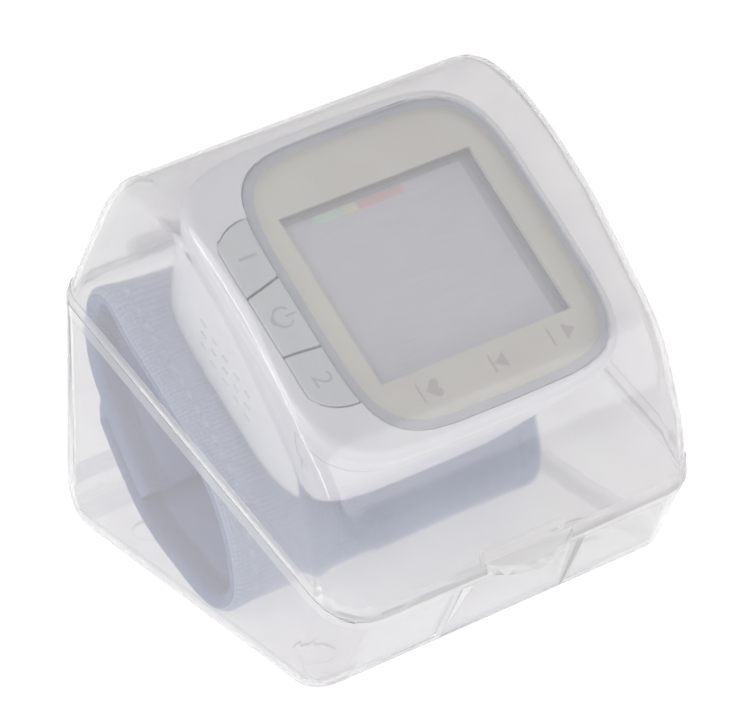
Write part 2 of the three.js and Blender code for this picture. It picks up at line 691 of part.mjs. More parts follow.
// The outline of one key, grown by a distance. Its ends are a split line or the curved end of the strip.
function keyOutline(upper, lower, grow) {
  const innerX = (y) => lensEdgeX(y, KEY_GAP - grow);
  const outer = KEY_OUTER_X - grow;
  const steps = 6;
  const edge = (split, sign, shift) => {
    const points = [];
    for (let i = 0; i <= steps; i++) {
      const share = i / steps;
      if (split) {
        const y = THREE.MathUtils.lerp(split[0], split[1], share) + shift;
        points.push([THREE.MathUtils.lerp(outer, innerX(y), share), y]);
      } else {
        const angle = (Math.PI / 2) * (1 - share);
        const x0 = lensEdgeX(KEY_END_Y, KEY_GAP);
        const x = x0 + grow - (x0 + grow - outer) * Math.sin(angle);
        points.push([x, keyEnd(THREE.MathUtils.clamp(x, KEY_OUTER_X, x0), sign) + sign * grow]);
      }
    }
    return points;
  };
  const top = edge(upper, 1, grow - KEY_GAP / 2);
  const bottom = edge(lower, -1, KEY_GAP / 2 - grow);
  const inside = [];
  for (let i = 1; i < steps; i++) {
    const y = THREE.MathUtils.lerp(bottom.at(-1)[1], top.at(-1)[1], i / steps);
    inside.push([innerX(y), y]);
  }
  return [...bottom, ...inside, ...top.reverse()];
}
const keyEnds = [
  [null, KEY_SPLITS[0]],
  [KEY_SPLITS[0], KEY_SPLITS[1]],
  [KEY_SPLITS[1], null],
];
const keyCentres = keyEnds.map(([upper, lower]) => {
  const outline = keyOutline(upper, lower, 0);
  const ys = outline.map((p) => p[1]);
  const xs = outline.map((p) => p[0]);
  return [(Math.min(...xs) + Math.max(...xs)) / 2, (Math.min(...ys) + Math.max(...ys)) / 2];
});
const tabTop = ceiling - GAP;
const keyLow = tabTop - KEY_TAB_THICK;
const stemLow = keyLow - KEY_STEM_LENGTH;
const plungerTop = stemLow - GAP;
const switchTop = plungerTop - KEY_TRAVEL;
const boardTop = switchTop - SWITCH_HEIGHT - GAP;
const boardLow = boardTop - BOARD_THICK;
// The lower cell lies on the bottom cover. The upper one lies on it, but stays below the board's underside.
const cellPitch = 2 * CELL_R + CELL_SPACE;
const cellLowZ = plateTop + GAP + CELL_R;
const stackedZ = cellLowZ + Math.sqrt(cellPitch ** 2 - CELL_STAGGER ** 2);
const upperCell = [CELL_FRONT - HOUSING_HALF_Y, Math.min(boardLow - CELL_DROP, stackedZ)];
const cellBack = Math.sqrt(cellPitch ** 2 - (upperCell[1] - cellLowZ) ** 2);
const lowerCell = [upperCell[0] + cellBack, cellLowZ];
const boardFrontY = upperCell[0] + CELL_R + BOARD_ROOM;
const bayWallY = lowerCell[0] + CELL_R + BAY_ROOM + BAY_WALL / 2;
const bossY = [HOUSING_HALF_Y - BOSS_BACK, bayWallY + BAY_WALL / 2 + BAY_ROOM + BOSS_R];
// A key cap with a tab on each side that holds it under the housing, and the stem that presses its switch.
function key([upper, lower], [x, y]) {
  const cap = plate(keyOutline(upper, lower, 0), keyLow, KEY_PROUD);
  const half = KEY_TAB_WIDTH / 2;
  const lensSide = lensEdgeX(y, KEY_GAP) + KEY_TAB;
  const tabs = block(KEY_OUTER_X - KEY_TAB, lensSide, y - half, y + half, keyLow, tabTop);
  const stem = rodZ(KEY_STEM_R, stemLow, keyLow + KEY_TAB_THICK / 2, x, y);
  return join(cap, tabs, stem);
}
const keyHole = plate(keyOutline(null, null, SLIDE_GAP), ceiling - OVER, OVER);

// The front end of the housing, below a level and before a slanted line, is the battery cover.
function coverZone(shrink) {
  const zone = block(-FAR, FAR, -FAR, 0, -FAR, 0);
  const edge = [0, -Math.cos(COVER_SLANT), Math.sin(COVER_SLANT)];
  const at = -(COVER_EDGE_Y * Math.cos(COVER_SLANT) - COVER_TOP * Math.sin(COVER_SLANT));
  return zone.trimByPlane([0, 0, -1], -COVER_TOP + shrink).trimByPlane(edge, at + shrink);
}
const speakerZ = (plateTop + boardLow) / 2;
const slotZ = speakerZ + SLOT_RISE;
const speakerX = -(wallHalf(speakerZ - SPEAKER_R)[0] - HOUSING_WALL) + SPEAKER_SEAT;
function soundSlots() {
  const slots = [];
  for (let row = 0; row < SLOT_ROWS; row++)
    for (let column = 0; column < SLOT_COLUMNS; column++) {
      const z = slotZ + (column - (SLOT_COLUMNS - 1) / 2) * SLOT_COLUMN_PITCH;
      const y = SPEAKER_Y + (row - (SLOT_ROWS - 1) / 2) * SLOT_ROW_PITCH + (column - 1) * SLOT_STAGGER;
      const along = SLOT_LENGTH / 2;
      const across = SLOT_WIDTH / 2;
      slots.push(block(-FAR, speakerX - GAP, y - along, y + along, z - across, z + across));
    }
  return slots;
}
function upperHousing() {
  let body = cut(housingOuter, housingInner);
  const speakerRing = cut(
    rodX(SPEAKER_R + GAP + SPEAKER_RING, -FAR, speakerX + SPEAKER_THICK / 2, SPEAKER_Y, speakerZ, 24),
    rodX(SPEAKER_R + GAP, speakerX - GAP, 0, SPEAKER_Y, speakerZ, 24),
    rodX(SPEAKER_R - SPEAKER_LEDGE, -FAR - OVER, 0, SPEAKER_Y, speakerZ, 24),
  );
  body = join(body, common(speakerRing, housingOuter));
  for (const side of [-1, 1])
    for (const y of bossY) {
      const post = rodZ(BOSS_R, plateTop + GAP, boardLow - GAP, side * BOSS_X, y);
      const reach = [side * BOSS_X, side * FAR].sort((a, b) => a - b);
      const rib = block(...reach, y - BOSS_RIB / 2, y + BOSS_RIB / 2, plateTop + GAP, boardLow - GAP);
      body = join(body, common(join(post, rib), housingOuter));
      body = cut(body, rodZ(SCREW_R + SLIDE_GAP, -FAR, boardLow - OVER - GAP, side * BOSS_X, y));
    }
  const opening = rectangle(WINDOW_X + 2 * WINDOW_MARGIN, WINDOW_Y + 2 * WINDOW_MARGIN, DISPLAY_X);
  body = cut(
    body,
    plate(bowedSquare(LENS_HALF_X + GAP, LENS_HALF_Y + GAP, LENS_X), lensSeat, OVER),
    plate(opening, ceiling - OVER, OVER),
    keyHole,
    ...soundSlots(),
    coverZone(0),
  );
  return body;
}
function batteryCover() {
  const wall = common(cut(housingOuter, housingInner), coverZone(GAP));
  const y = COVER_EDGE_Y - DENT_R / 2;
  const [a, b] = wallHalf(slotZ);
  const wallX = -a * (1 - Math.abs(y / b) ** ROUND_POWER) ** (1 / ROUND_POWER);
  const dent = new THREE.SphereGeometry(DENT_R, 24, 16);
  dent.translate(wallX - DENT_R + DENT_DEPTH, y, slotZ);
  return cut(wall, solid(dent));
}
const plateMid = plateTop - PLATE_THICK / 2;
function saddle(x0, x1, y0, y1) {
  const d = SADDLE_INSET;
  return block(x0 + d, x1 - d, y0 + d, y1 - d, plateMid, plateTop + SADDLE_HEIGHT);
}
const deckZ = plateTop + SADDLE_HEIGHT + GAP;
const headX = [PUMP_X - GAP - PUMP_HEAD, PUMP_X - GAP];
const contactX = CELL_LENGTH / 2 + SPRING_ROOM / 2;
const bayEndX = contactX + CONTACT_THICK + GAP;
function lowerHousing() {
  const bayTop = boardLow - 2 * GAP;
  const bayOut = bayEndX + BAY_WALL;
  const wallBack = bayWallY + BAY_WALL / 2;
  const screwSeat = -HOUSING_DEPTH + SCREW_HEAD + SLIDE_GAP;
  let body = join(
    block(-FAR, FAR, -FAR, FAR, -HOUSING_DEPTH, plateTop),
    block(-bayOut, bayOut, bayWallY - BAY_WALL / 2, wallBack, plateMid, bayTop),
    block(-bayOut, -bayEndX, upperCell[0], wallBack, plateMid, bayTop),
    block(bayEndX, bayOut, upperCell[0], wallBack, plateMid, bayTop),
    saddle(PUMP_X, PUMP_X + PUMP_LENGTH, PUMP_Y - PUMP_R, PUMP_Y + PUMP_R),
    saddle(headX[0], headX[1], PUMP_Y - PUMP_HEAD / 2, PUMP_Y + PUMP_HEAD / 2),
    saddle(VALVE_X, VALVE_X + VALVE[0], VALVE_Y - VALVE[1] / 2, VALVE_Y + VALVE[1] / 2),
  );
  body = common(body, housingRoom);
  for (const side of [-1, 1])
    for (const y of bossY) {
      body = cut(body, rodZ(SCREW_R + SLIDE_GAP, -FAR, 0, side * BOSS_X, y));
      body = cut(body, rodZ(SCREW_HEAD_R + GAP, -FAR, screwSeat, side * BOSS_X, y));
    }
  clampSpots.forEach((x) => {
    body = cut(body, rodZ(SCREW_R + SLIDE_GAP, -FAR, 0, x, CLAMP_Y));
  });
  return cut(body, rodZ(INLET_R + GAP, -FAR, 0, MANIFOLD_X, MANIFOLD_Y));
}
// A screw with its head's outer face at headZ, pointing up (1) or down (-1), with a cross slot.
function screw(x, y, headZ, up, length) {
  const zs = (a, b) => [headZ + up * a, headZ + up * b].sort((p, q) => p - q);
  const head = rodZ(SCREW_HEAD_R, ...zs(0, SCREW_HEAD), x, y, 16);
  const shank = rodZ(SCREW_R, ...zs(SCREW_HEAD / 2, length), x, y, 12);
  const half = SCREW_SLOT / 2;
  const arm = (SCREW_R + SCREW_HEAD_R) / 2 - half;
  const depth = zs(-OVER, SCREW_HEAD / 2);
  const cross = join(
    block(x - arm, x + arm, y - half, y + half, ...depth),
    block(x - half, x + half, y - arm, y + arm, ...depth),
  );
  return cut(join(head, shank), cross);
}

// Display pieces
function displayLens() {
  const at = (inset, z) => raised(bowedSquare(LENS_HALF_X - inset, LENS_HALF_Y - inset, LENS_X), z);
  return loft([at(0, -LENS_THICK), at(0, -LENS_BEVEL_DROP), at(LENS_BEVEL, 0)]);
}
function displayMask() {
  const top = -LENS_THICK - GAP;
  const sheet = plate(bowedSquare(LENS_HALF_X - GAP, LENS_HALF_Y - GAP, LENS_X), top - MASK_THICK, top);
  return cut(sheet, plate(rectangle(WINDOW_X, WINDOW_Y, DISPLAY_X), top - OVER, top + OVER));
}
function lcdFrame() {
  const outer = plate(rectangle(frameX, frameY, DISPLAY_X), frameTop - FRAME_DEPTH, frameTop);
  const inside = rectangle(frameX - 2 * FRAME_WALL, frameY - 2 * FRAME_WALL, DISPLAY_X);
  const pocket = plate(inside, -FAR, frameTop - FRAME_LIP);
  const opening = plate(rectangle(WINDOW_X, WINDOW_Y, DISPLAY_X), -FAR, 0);
  return cut(outer, pocket, opening);
}
function lcdPlate() {
  const glass = rectangle(WINDOW_X + 2 * LCD_BORDER, WINDOW_Y + 2 * LCD_BORDER, DISPLAY_X);
  return plate(glass, lcdTop - LCD_THICK, lcdTop);
}
// The rubber strip of fine conductors that joins the display glass to the board.
function connectorStrip() {
  const y = WINDOW_Y / 2 + LCD_BORDER - STRIP_INSET;
  const strip = rectangle(WINDOW_X, STRIP_WIDTH, DISPLAY_X, y);
  return plate(strip, boardTop + GAP, lcdTop - LCD_THICK - GAP);
}
function mainBoard() {
  const [a, b] = wallHalf(boardLow);
  const inset = HOUSING_WALL + 2 * GAP;
  const full = plate(bowedSquare(a - inset, b - inset), boardLow, boardTop);
  return common(full, block(-FAR, FAR, boardFrontY, FAR, boardLow - OVER, boardTop + OVER));
}
function tactSwitch([x, y]) {
  const h = SWITCH_SIZE / 2;
  const body = block(x - h, x + h, y - h, y + h, boardTop + GAP, switchTop);
  return cut(body, rodZ(PLUNGER_R + SLIDE_GAP, boardTop - OVER, switchTop + OVER, x, y));
}
const switchPlunger = ([x, y]) => rodZ(PLUNGER_R, plungerTop - PLUNGER_LENGTH, plungerTop, x, y);

// Cells lie across the front end, one above the other and turned end for end.
function cell([y, z], side) {
  const tip = side * (contactX - GAP);
  const shoulder = tip - side * CELL_NIPPLE;
  const tail = tip - side * CELL_LENGTH;
  const between = (a, b) => [Math.min(a, b), Math.max(a, b)];
  const can = rodX(CELL_R, ...between(shoulder, tail), y, z, 28);
  const nipple = rodX(CELL_NIPPLE_R, ...between(tip, shoulder - side * OVER), y, z, 16);
  return join(can, nipple);
}
function contact(side, y, z0, z1) {
  const [x0, x1] = [side * contactX, side * (contactX + CONTACT_THICK)].sort((a, b) => a - b);
  return common(block(x0, x1, y - CONTACT_HALF, y + CONTACT_HALF, z0, z1), housingRoom);
}
// A coil spring that tapers from a contact to the flat end of a cell.
function cellSpring([y, z], side) {
  const from = side * (contactX - GAP - SPRING_WIRE);
  const to = side * (contactX - SPRING_ROOM + 2 * GAP + SPRING_WIRE);
  const steps = SPRING_TURNS * 9;
  const sides = 5;
  const points = [];
  for (let i = 0; i <= steps; i++) {
    const share = i / steps;
    const angle = 2 * Math.PI * SPRING_TURNS * share;
    const r = THREE.MathUtils.lerp(SPRING_R, SPRING_TIP_R, share);
    const x = THREE.MathUtils.lerp(from, to, share);
    points.push(new THREE.Vector3(x, y + r * Math.cos(angle), z + r * Math.sin(angle)));
  }
  const frames = new THREE.CatmullRomCurve3(points).computeFrenetFrames(steps, false);
  const rings = points.map((p, i) => {
    const ring = [];
    for (let k = 0; k < sides; k++) {
      const angle = (2 * Math.PI * k) / sides;
      const q = p.clone();
      q.addScaledVector(frames.normals[i], SPRING_WIRE * Math.cos(angle));
      q.addScaledVector(frames.binormals[i], SPRING_WIRE * Math.sin(angle));
      ring.push(q);
    }
    return ring;
  });
  return loft(rings);
}

// Air pieces stand on the bottom cover and are joined by short straight tubes.
const tubeZ = deckZ + TUBE_RISE + TUBE_R;
const manifoldLow = inletTop - INLET_RISE / 2 - GAP;
const manifoldTop = tubeZ + TUBE_R + MANIFOLD_ROOF;
const pumpZ = deckZ + PUMP_R;
const headFront = PUMP_Y - PUMP_HEAD / 2;
function pumpMotor() {
  const end = PUMP_X + PUMP_LENGTH;
  const can = rodX(PUMP_R, PUMP_X, end, PUMP_Y, pumpZ, 32);
  const boss = rodX(PUMP_BOSS_R, end - OVER, end + PUMP_BOSS, PUMP_Y, pumpZ);
  return join(can, boss);
}
function pumpHead() {
  const outline = rectangle(PUMP_HEAD, PUMP_HEAD, (headX[0] + headX[1]) / 2, PUMP_Y);
  return plate(outline, deckZ, deckZ + PUMP_HEAD);
}
function exhaustValve() {
  const outline = rectangle(VALVE[0], VALVE[1], VALVE_X + VALVE[0] / 2, VALVE_Y);
  return plate(outline, deckZ, deckZ + VALVE[2]);
}
function airManifold() {
  const body = plate(rectangle(MANIFOLD, MANIFOLD, MANIFOLD_X, MANIFOLD_Y), manifoldLow, manifoldTop);
  return cut(body, rodZ(INLET_R + GAP, manifoldLow - OVER, inletTop + GAP, MANIFOLD_X, MANIFOLD_Y));
}
const sensorLow = boardLow - GAP - SENSOR[2];
function pressureSensor() {
  const body = plate(rectangle(SENSOR[0], SENSOR[1], MANIFOLD_X, MANIFOLD_Y), sensorLow, boardLow - GAP);
  return join(body, rodZ(TUBE_R, sensorLow - SENSOR_PORT, sensorLow + OVER, MANIFOLD_X, MANIFOLD_Y));
}
function tubeAlong(rod, from, to, a, b) {
  return cut(rod(TUBE_R, from, to, a, b, 16), rod(TUBE_BORE_R, from - OVER, to + OVER, a, b, 12));
}

// Scene
const part = new THREE.Group();
part.name = "wrist_blood_pressure_monitor";
const monitor = new THREE.Group();
monitor.position.set(MONITOR_X, MONITOR_Y, monitorZ);
monitor.rotation.x = TILT;
part.add(monitor);
function add(group, name, body, material) {
  const mesh = new THREE.Mesh(geometryOf(body), material);
  mesh.name = name;
  group.add(mesh);
}

add(part, "case_base", caseBase(), FROSTED);
add(part, "case_lid", caseLid(), FROSTED);
add(part, "case_hinge_pin", hingePin(), FROSTED);

add(monitor, "upper_housing", upperHousing(), WHITE);
add(monitor, "lower_housing", lowerHousing(), WHITE);
add(monitor, "battery_cover", batteryCover(), WHITE);
add(monitor, "display_lens", displayLens(), CLEAR);
add(monitor, "display_mask", displayMask(), PRINT);
add(monitor, "lcd_panel", lcdPlate(), LCD_GREY);
add(monitor, "lcd_frame", lcdFrame(), DARK);
add(monitor, "lcd_connector", connectorStrip(), RUBBER);
add(monitor, "main_board", mainBoard(), BOARD);
["memory_1", "power", "memory_2"].forEach((name, i) => {
  add(monitor, `button_${name}`, key(keyEnds[i], keyCentres[i]), KEY_GREY);
  add(monitor, `plunger_${name}`, switchPlunger(keyCentres[i]), DARK);
  add(monitor, `switch_${name}`, tactSwitch(keyCentres[i]), DARK);
});
const speaker = rodX(SPEAKER_R, speakerX, speakerX + SPEAKER_THICK, SPEAKER_Y, speakerZ, 28);
add(monitor, "speaker", speaker, DARK);

add(monitor, "battery_1", cell(upperCell, 1), CELL);
add(monitor, "battery_2", cell(lowerCell, -1), CELL);
const contactTop = upperCell[1] + CONTACT_HALF;
const contactLow = lowerCell[1] - CONTACT_HALF;
const contactSplit = (upperCell[1] + lowerCell[1]) / 2;
const bridgeTop = contact(-1, upperCell[0], contactSplit - OVER, contactTop);
const bridgeLow = contact(-1, lowerCell[0], contactLow, contactSplit + OVER);
add(monitor, "contact_bridge", join(bridgeTop, bridgeLow), NICKEL);
add(monitor, "contact_positive", contact(1, upperCell[0], contactSplit + GAP, contactTop), NICKEL);
add(monitor, "contact_negative", contact(1, lowerCell[0], contactLow, contactSplit - GAP), NICKEL);
add(monitor, "cell_spring_1", cellSpring(upperCell, -1), NICKEL);
add(monitor, "cell_spring_2", cellSpring(lowerCell, 1), NICKEL);

add(monitor, "pump_motor", pumpMotor(), STEEL);
add(monitor, "pump_head", pumpHead(), DARK);
add(monitor, "exhaust_valve", exhaustValve(), STEEL);
add(monitor, "pressure_sensor", pressureSensor(), SILICONE);
add(monitor, "air_manifold", airManifold(), SILICONE);
const manifoldBack = MANIFOLD_Y + MANIFOLD / 2 + GAP;
const manifoldRight = MANIFOLD_X + MANIFOLD / 2 + GAP;
const sensorTip = sensorLow - SENSOR_PORT - GAP;
const tubePump = tubeAlong(rodY, manifoldBack, headFront - GAP, MANIFOLD_X, tubeZ);
const tubeValve = tubeAlong(rodX, manifoldRight, VALVE_X - GAP, TUBE_VALVE_Y, tubeZ);
const tubeSensor = tubeAlong(rodZ, manifoldTop + GAP, sensorTip, MANIFOLD_X, MANIFOLD_Y);
add(monitor, "tube_pump", tubePump, SILICONE);
add(monitor, "tube_valve", tubeValve, SILICONE);
add(monitor, "tube_sensor", tubeSensor, SILICONE);

let screwCount = 0;
for (const side of [-1, 1])
  for (const y of bossY) {
    screwCount += 1;
    const body = screw(side * BOSS_X, y, -HOUSING_DEPTH, 1, SCREW_LENGTH);
    add(monitor, `housing_screw_${screwCount}`, body, STEEL);
  }
clampSpots.forEach((x, i) => {
  const headZ = plateTop + GAP + SCREW_HEAD;
  add(monitor, `cuff_screw_${i + 1}`, screw(x, CLAMP_Y, headZ, -1, CUFF_SCREW_LENGTH), STEEL);
});

add(monitor, "cuff_cover", cuffCover(), CLOTH);
add(monitor, "cuff_stiffener", cuffStiffener(), LEAF);
add(monitor, "air_bladder", airBladder(), SILICONE);
add(monitor, "hook_tape", hookTape(), HOOK);

export default part;
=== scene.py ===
# %% [markdown]
# # A wrist blood pressure monitor in its storage case
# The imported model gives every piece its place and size. This lesson dresses it: the rigid pieces get
# soft edges and keep their shape, apart from small changes to the case, the cuff is sewn anew from
# cloth, and each surface gets a finish of its own.

# %% Load the frame
import json
import math

import bmesh
import bpy
import numpy as np
from mathutils import Matrix, Vector, noise

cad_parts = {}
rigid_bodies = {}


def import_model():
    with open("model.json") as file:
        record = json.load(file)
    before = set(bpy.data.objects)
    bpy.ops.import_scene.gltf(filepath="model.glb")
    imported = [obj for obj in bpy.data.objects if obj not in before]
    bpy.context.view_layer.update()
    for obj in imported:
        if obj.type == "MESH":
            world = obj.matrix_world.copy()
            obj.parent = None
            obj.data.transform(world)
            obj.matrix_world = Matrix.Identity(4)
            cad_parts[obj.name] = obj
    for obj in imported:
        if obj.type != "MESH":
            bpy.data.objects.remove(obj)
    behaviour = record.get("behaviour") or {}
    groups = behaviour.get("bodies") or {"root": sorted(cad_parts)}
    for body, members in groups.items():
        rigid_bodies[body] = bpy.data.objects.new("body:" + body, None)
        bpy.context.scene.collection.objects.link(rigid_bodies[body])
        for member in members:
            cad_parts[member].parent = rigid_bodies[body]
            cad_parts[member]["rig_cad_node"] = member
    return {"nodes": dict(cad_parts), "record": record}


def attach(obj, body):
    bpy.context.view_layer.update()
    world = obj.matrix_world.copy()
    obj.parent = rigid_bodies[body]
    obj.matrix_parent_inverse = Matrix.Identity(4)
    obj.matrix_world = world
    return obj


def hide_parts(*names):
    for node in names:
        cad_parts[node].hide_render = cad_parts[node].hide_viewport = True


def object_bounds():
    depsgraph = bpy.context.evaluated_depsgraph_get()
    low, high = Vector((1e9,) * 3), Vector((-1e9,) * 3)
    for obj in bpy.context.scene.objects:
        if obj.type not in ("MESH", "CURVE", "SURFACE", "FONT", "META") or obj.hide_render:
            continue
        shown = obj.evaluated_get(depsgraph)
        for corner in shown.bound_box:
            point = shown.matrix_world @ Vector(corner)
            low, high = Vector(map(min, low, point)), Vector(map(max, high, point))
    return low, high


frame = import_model()
cad_low, cad_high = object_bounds()
nodes = frame["nodes"]
MM = 0.001
print("nodes", len(nodes), "size in mm", [round(s / MM, 1) for s in cad_high - cad_low])

# %% [markdown]
# The monitor lies tilted in the case, so its pieces are drawn flat, in millimetres of their own frame,
# and then turned into place. The tilt is known, and the height follows from the highest face of the
# display lens.

# %% The monitor's own frame
TILT = math.radians(34)
MONITOR_X = -0.6 * MM
MONITOR_Y = -8.65 * MM
display_normal = Vector((0, -math.sin(TILT), math.cos(TILT)))
lens_top = max(v.co.dot(display_normal) for v in nodes["display_lens"].data.vertices)
monitor_z = (lens_top + MONITOR_Y * math.sin(TILT)) / math.cos(TILT)
MONITOR = Matrix.Translation((MONITOR_X, MONITOR_Y, monitor_z)) @ Matrix.Rotation(TILT, 4, "X")


def flat_box(node):
    """The lowest and highest corners of a CAD node in the monitor's own frame, in millimetres."""
    back = MONITOR.inverted()
    corners = np.array([back @ v.co for v in nodes[node].data.vertices]) / MM
    return corners.min(0), corners.max(0)


print("monitor height in mm", round(monitor_z / MM, 2))

# %% [markdown]
# The photograph looks down on the front left corner from far away, with a long lens. The camera stands
# where its picture lines up with the case's outline.

# %% Camera
CAMERA_AZIMUTH = math.radians(-37.92)
CAMERA_ELEVATION = math.radians(31.38)
CAMERA_DISTANCE = 1029.2 * MM
CAMERA_TARGET = Vector((-0.415, 0.541, 41.88)) * MM
CAMERA_LENS = 264.4
CAMERA_NEAR = 10 * MM
towards_camera = Vector(
    (
        math.sin(CAMERA_AZIMUTH) * math.cos(CAMERA_ELEVATION),
        -math.cos(CAMERA_AZIMUTH) * math.cos(CAMERA_ELEVATION),
        math.sin(CAMERA_ELEVATION),
    )
)
bpy.ops.object.camera_add(
    location=CAMERA_TARGET + towards_camera * CAMERA_DISTANCE,
    rotation=towards_camera.to_track_quat("Z", "Y").to_euler(),
)
camera = bpy.context.object
camera.data.lens = CAMERA_LENS
camera.data.clip_start = CAMERA_NEAR
bpy.context.scene.camera = camera
print("camera at", [round(c, 3) for c in camera.location])

# %% [markdown]
# The product stands in a light tent: white all round, a white table, and a soft box on the left. A
# plain world colour is the tent. Two more boxes light nothing and only show as reflections in the
# glossy case: a narrow one on the left draws a bright line along the rounded edge of the lid, and a
# wide one in front lays a pale sheen on its slope.

# %% Table and light
WHITE = (1, 1, 1, 1)
TENT_STRENGTH = 0.6
LIGHT_BOUNCES = 24
TABLE_SIZE = 12
TABLE_DROP = 0.1 * MM
scene = bpy.context.scene
scene.view_settings.view_transform = "Standard"
scene.cycles.use_denoising = True
scene.cycles.max_bounces = LIGHT_BOUNCES
scene.cycles.transmission_bounces = LIGHT_BOUNCES
world = bpy.data.worlds.new("light_tent")
world.use_nodes = True
world.node_tree.nodes["Background"].inputs["Color"].default_value = WHITE
world.node_tree.nodes["Background"].inputs["Strength"].default_value = TENT_STRENGTH
scene.world = world
centre = (cad_low + cad_high) / 2


def soft_box(name, place, along, width, length, power, lights=True):
    """A flat lamp that faces the part, with its length along a direction."""
    bpy.ops.object.light_add(type="AREA")
    lamp = bpy.context.object
    lamp.name = name
    lamp.data.shape = "RECTANGLE"
    lamp.data.size = width
    lamp.data.size_y = length
    lamp.data.energy = power
    back = (Vector(place) - centre).normalized()
    side = Vector(along).cross(back).normalized()
    turn = Matrix((side, back.cross(side), back)).transposed()
    lamp.matrix_world = Matrix.Translation(place) @ turn.to_4x4()
    lamp.visible_diffuse = lights


soft_box("soft_box_left", (-0.9, -0.2, 1.0), (0, 1, 0), width=0.7, length=0.7, power=5)
soft_box(
    "strip_box_edge", (-1.0, -0.34, 0.52), (0.1, 0.77, 0.64), width=0.06, length=1.3, power=2.6, lights=False
)
soft_box("wide_box_front", (0.3, -1.25, 0.55), (1, 0.2, 0), width=0.8, length=2.2, power=12, lights=False)
bpy.ops.mesh.primitive_plane_add(size=TABLE_SIZE, location=(0, 0, -TABLE_DROP))
table = bpy.context.object
table.name = "table_top"

# %% [markdown]
# Every finish is a small node tree on one shader. A few helpers are enough: a colour from its hex
# value, a new material with its plain values, one function that adds any node with its settings and
# links, and four short ones for grain, colour, roughness and bump.

# %% Material helpers
def linear(hex_colour):
    """An sRGB hex colour as linear red, green, blue and a full alpha."""
    values = [int(hex_colour[i : i + 2], 16) / 255 for i in (1, 3, 5)]
    return tuple(v / 12.92 if v <= 0.04045 else ((v + 0.055) / 1.055) ** 2.4 for v in values) + (1.0,)


def add_node(tree, kind, settings=None, inputs=None, links=None):
    """Adds a node, with its settings, the values of its inputs, and links from other nodes' outputs."""
    node = tree.nodes.new(kind)
    for name, value in (settings or {}).items():
        setattr(node, name, value)
    for name, value in (inputs or {}).items():
        node.inputs[name].default_value = value
    for name, socket in (links or {}).items():
        tree.links.new(socket, node.inputs[name])
    return node


def new_material(name, **inputs):
    """A material with one shader, the plain values of its inputs, and its node tree."""
    material = bpy.data.materials.new(name)
    material.use_nodes = True
    shader = material.node_tree.nodes["Principled BSDF"]
    for key, value in inputs.items():
        shader.inputs[key.replace("_", " ").title().replace("Ior", "IOR")].default_value = value
    return material, material.node_tree, shader


def grain(tree, size, detail=2.0):
    """Noise on the object's own coordinates, with grains of a size in millimetres."""
    coords = add_node(tree, "ShaderNodeTexCoord")
    return add_node(
        tree,
        "ShaderNodeTexNoise",
        inputs={"Scale": 1 / (size * MM), "Detail": detail},
        links={"Vector": coords.outputs["Object"]},
    ).outputs["Fac"]


def paint(tree, shader, factor, dark, light, low=0.3, high=0.7):
    """Colours a shader between two hex values as a factor rises from low to high."""
    ramp = add_node(tree, "ShaderNodeValToRGB", links={"Fac": factor})
    ramp.color_ramp.elements[0].position = low
    ramp.color_ramp.elements[0].color = linear(dark)
    ramp.color_ramp.elements[1].position = high
    ramp.color_ramp.elements[1].color = linear(light)
    tree.links.new(ramp.outputs["Color"], shader.inputs["Base Color"])


def polish(tree, shader, factor, low, high):
    """Lets a shader's roughness run from low to high as a factor rises from 0 to 1."""
    value = add_node(
        tree, "ShaderNodeMapRange", inputs={"To Min": low, "To Max": high}, links={"Value": factor}
    )
    tree.links.new(value.outputs["Result"], shader.inputs["Roughness"])


def emboss(tree, shader, height, depth, strength):
    """Bump of a depth in millimetres from a height socket."""
    bump = add_node(
        tree,
        "ShaderNodeBump",
        inputs={"Distance": depth * MM, "Strength": strength},
        links={"Height": height},
    )
    tree.links.new(bump.outputs["Normal"], shader.inputs["Normal"])


# %% [markdown]
# The table is plain white card. It glows a little, as a light table does, so that the part throws only
# the faintest shadow.

# %% Table finish
def white_card():
    """Matt card with a faint fibre, lit from below."""
    material, tree, shader = new_material("white_card", roughness=0.9, emission_strength=0.9)
    shader.inputs["Emission Color"].default_value = WHITE
    paint(tree, shader, grain(tree, 3.0), "#8c8c8c", "#929292")
    return material


table.data.materials.append(white_card())
print("table finish", table.data.materials[0].name)

# %% [markdown]
# The case is injection moulded polypropylene, left natural: milky, a little hazy, glossy outside. Alpha
# could make it see-through, but only bent light draws the fine dark and bright lines along its rounded
# edges, so the walls are real ones and most of the shader is transmission. The rest is the pale veil.
# The haze softens the bending, so the IOR lies below the 1.49 of the clear plastic. Two milkier
# versions are for the places where light has a longer way through the plastic.

# %% Finishes of the case
CASE_CLEAR = 0.85
RIM_CLEAR = 0.62
STEP_CLEAR = 0.3


def frosted_polypropylene(name, clear):
    """Milky see-through plastic: lets most light through, with a pale veil, flow marks and a soft gloss."""
    material, tree, shader = new_material(name, ior=1.36, transmission_weight=clear)
    paint(tree, shader, grain(tree, 18.0), "#eceaeb", "#f0efef")
    polish(tree, shader, grain(tree, 9.0, detail=3.0), 0.07, 0.11)
    return material


FROSTED = frosted_polypropylene("frosted_polypropylene", CASE_CLEAR)
THICK_FROSTED = frosted_polypropylene("thick_polypropylene", RIM_CLEAR)
STEP_FROSTED = frosted_polypropylene("edgewise_polypropylene", STEP_CLEAR)
print("case finishes", [m.name for m in (FROSTED, THICK_FROSTED, STEP_FROSTED)])

# %% [markdown]
# The housing is white ABS from a polished mould: bright and glossy, with a cool tint. The keys are grey
# ABS from a spark-eroded mould, so they are satin. The eroded grit is about 0.1 mm wide, and it is
# drawn at 0.3 mm so that it shows. Little light reaches into the sound slots, so their walls get a
# darker grey as painted shade.

# %% Finishes of the housing and keys
GRIT = 0.3


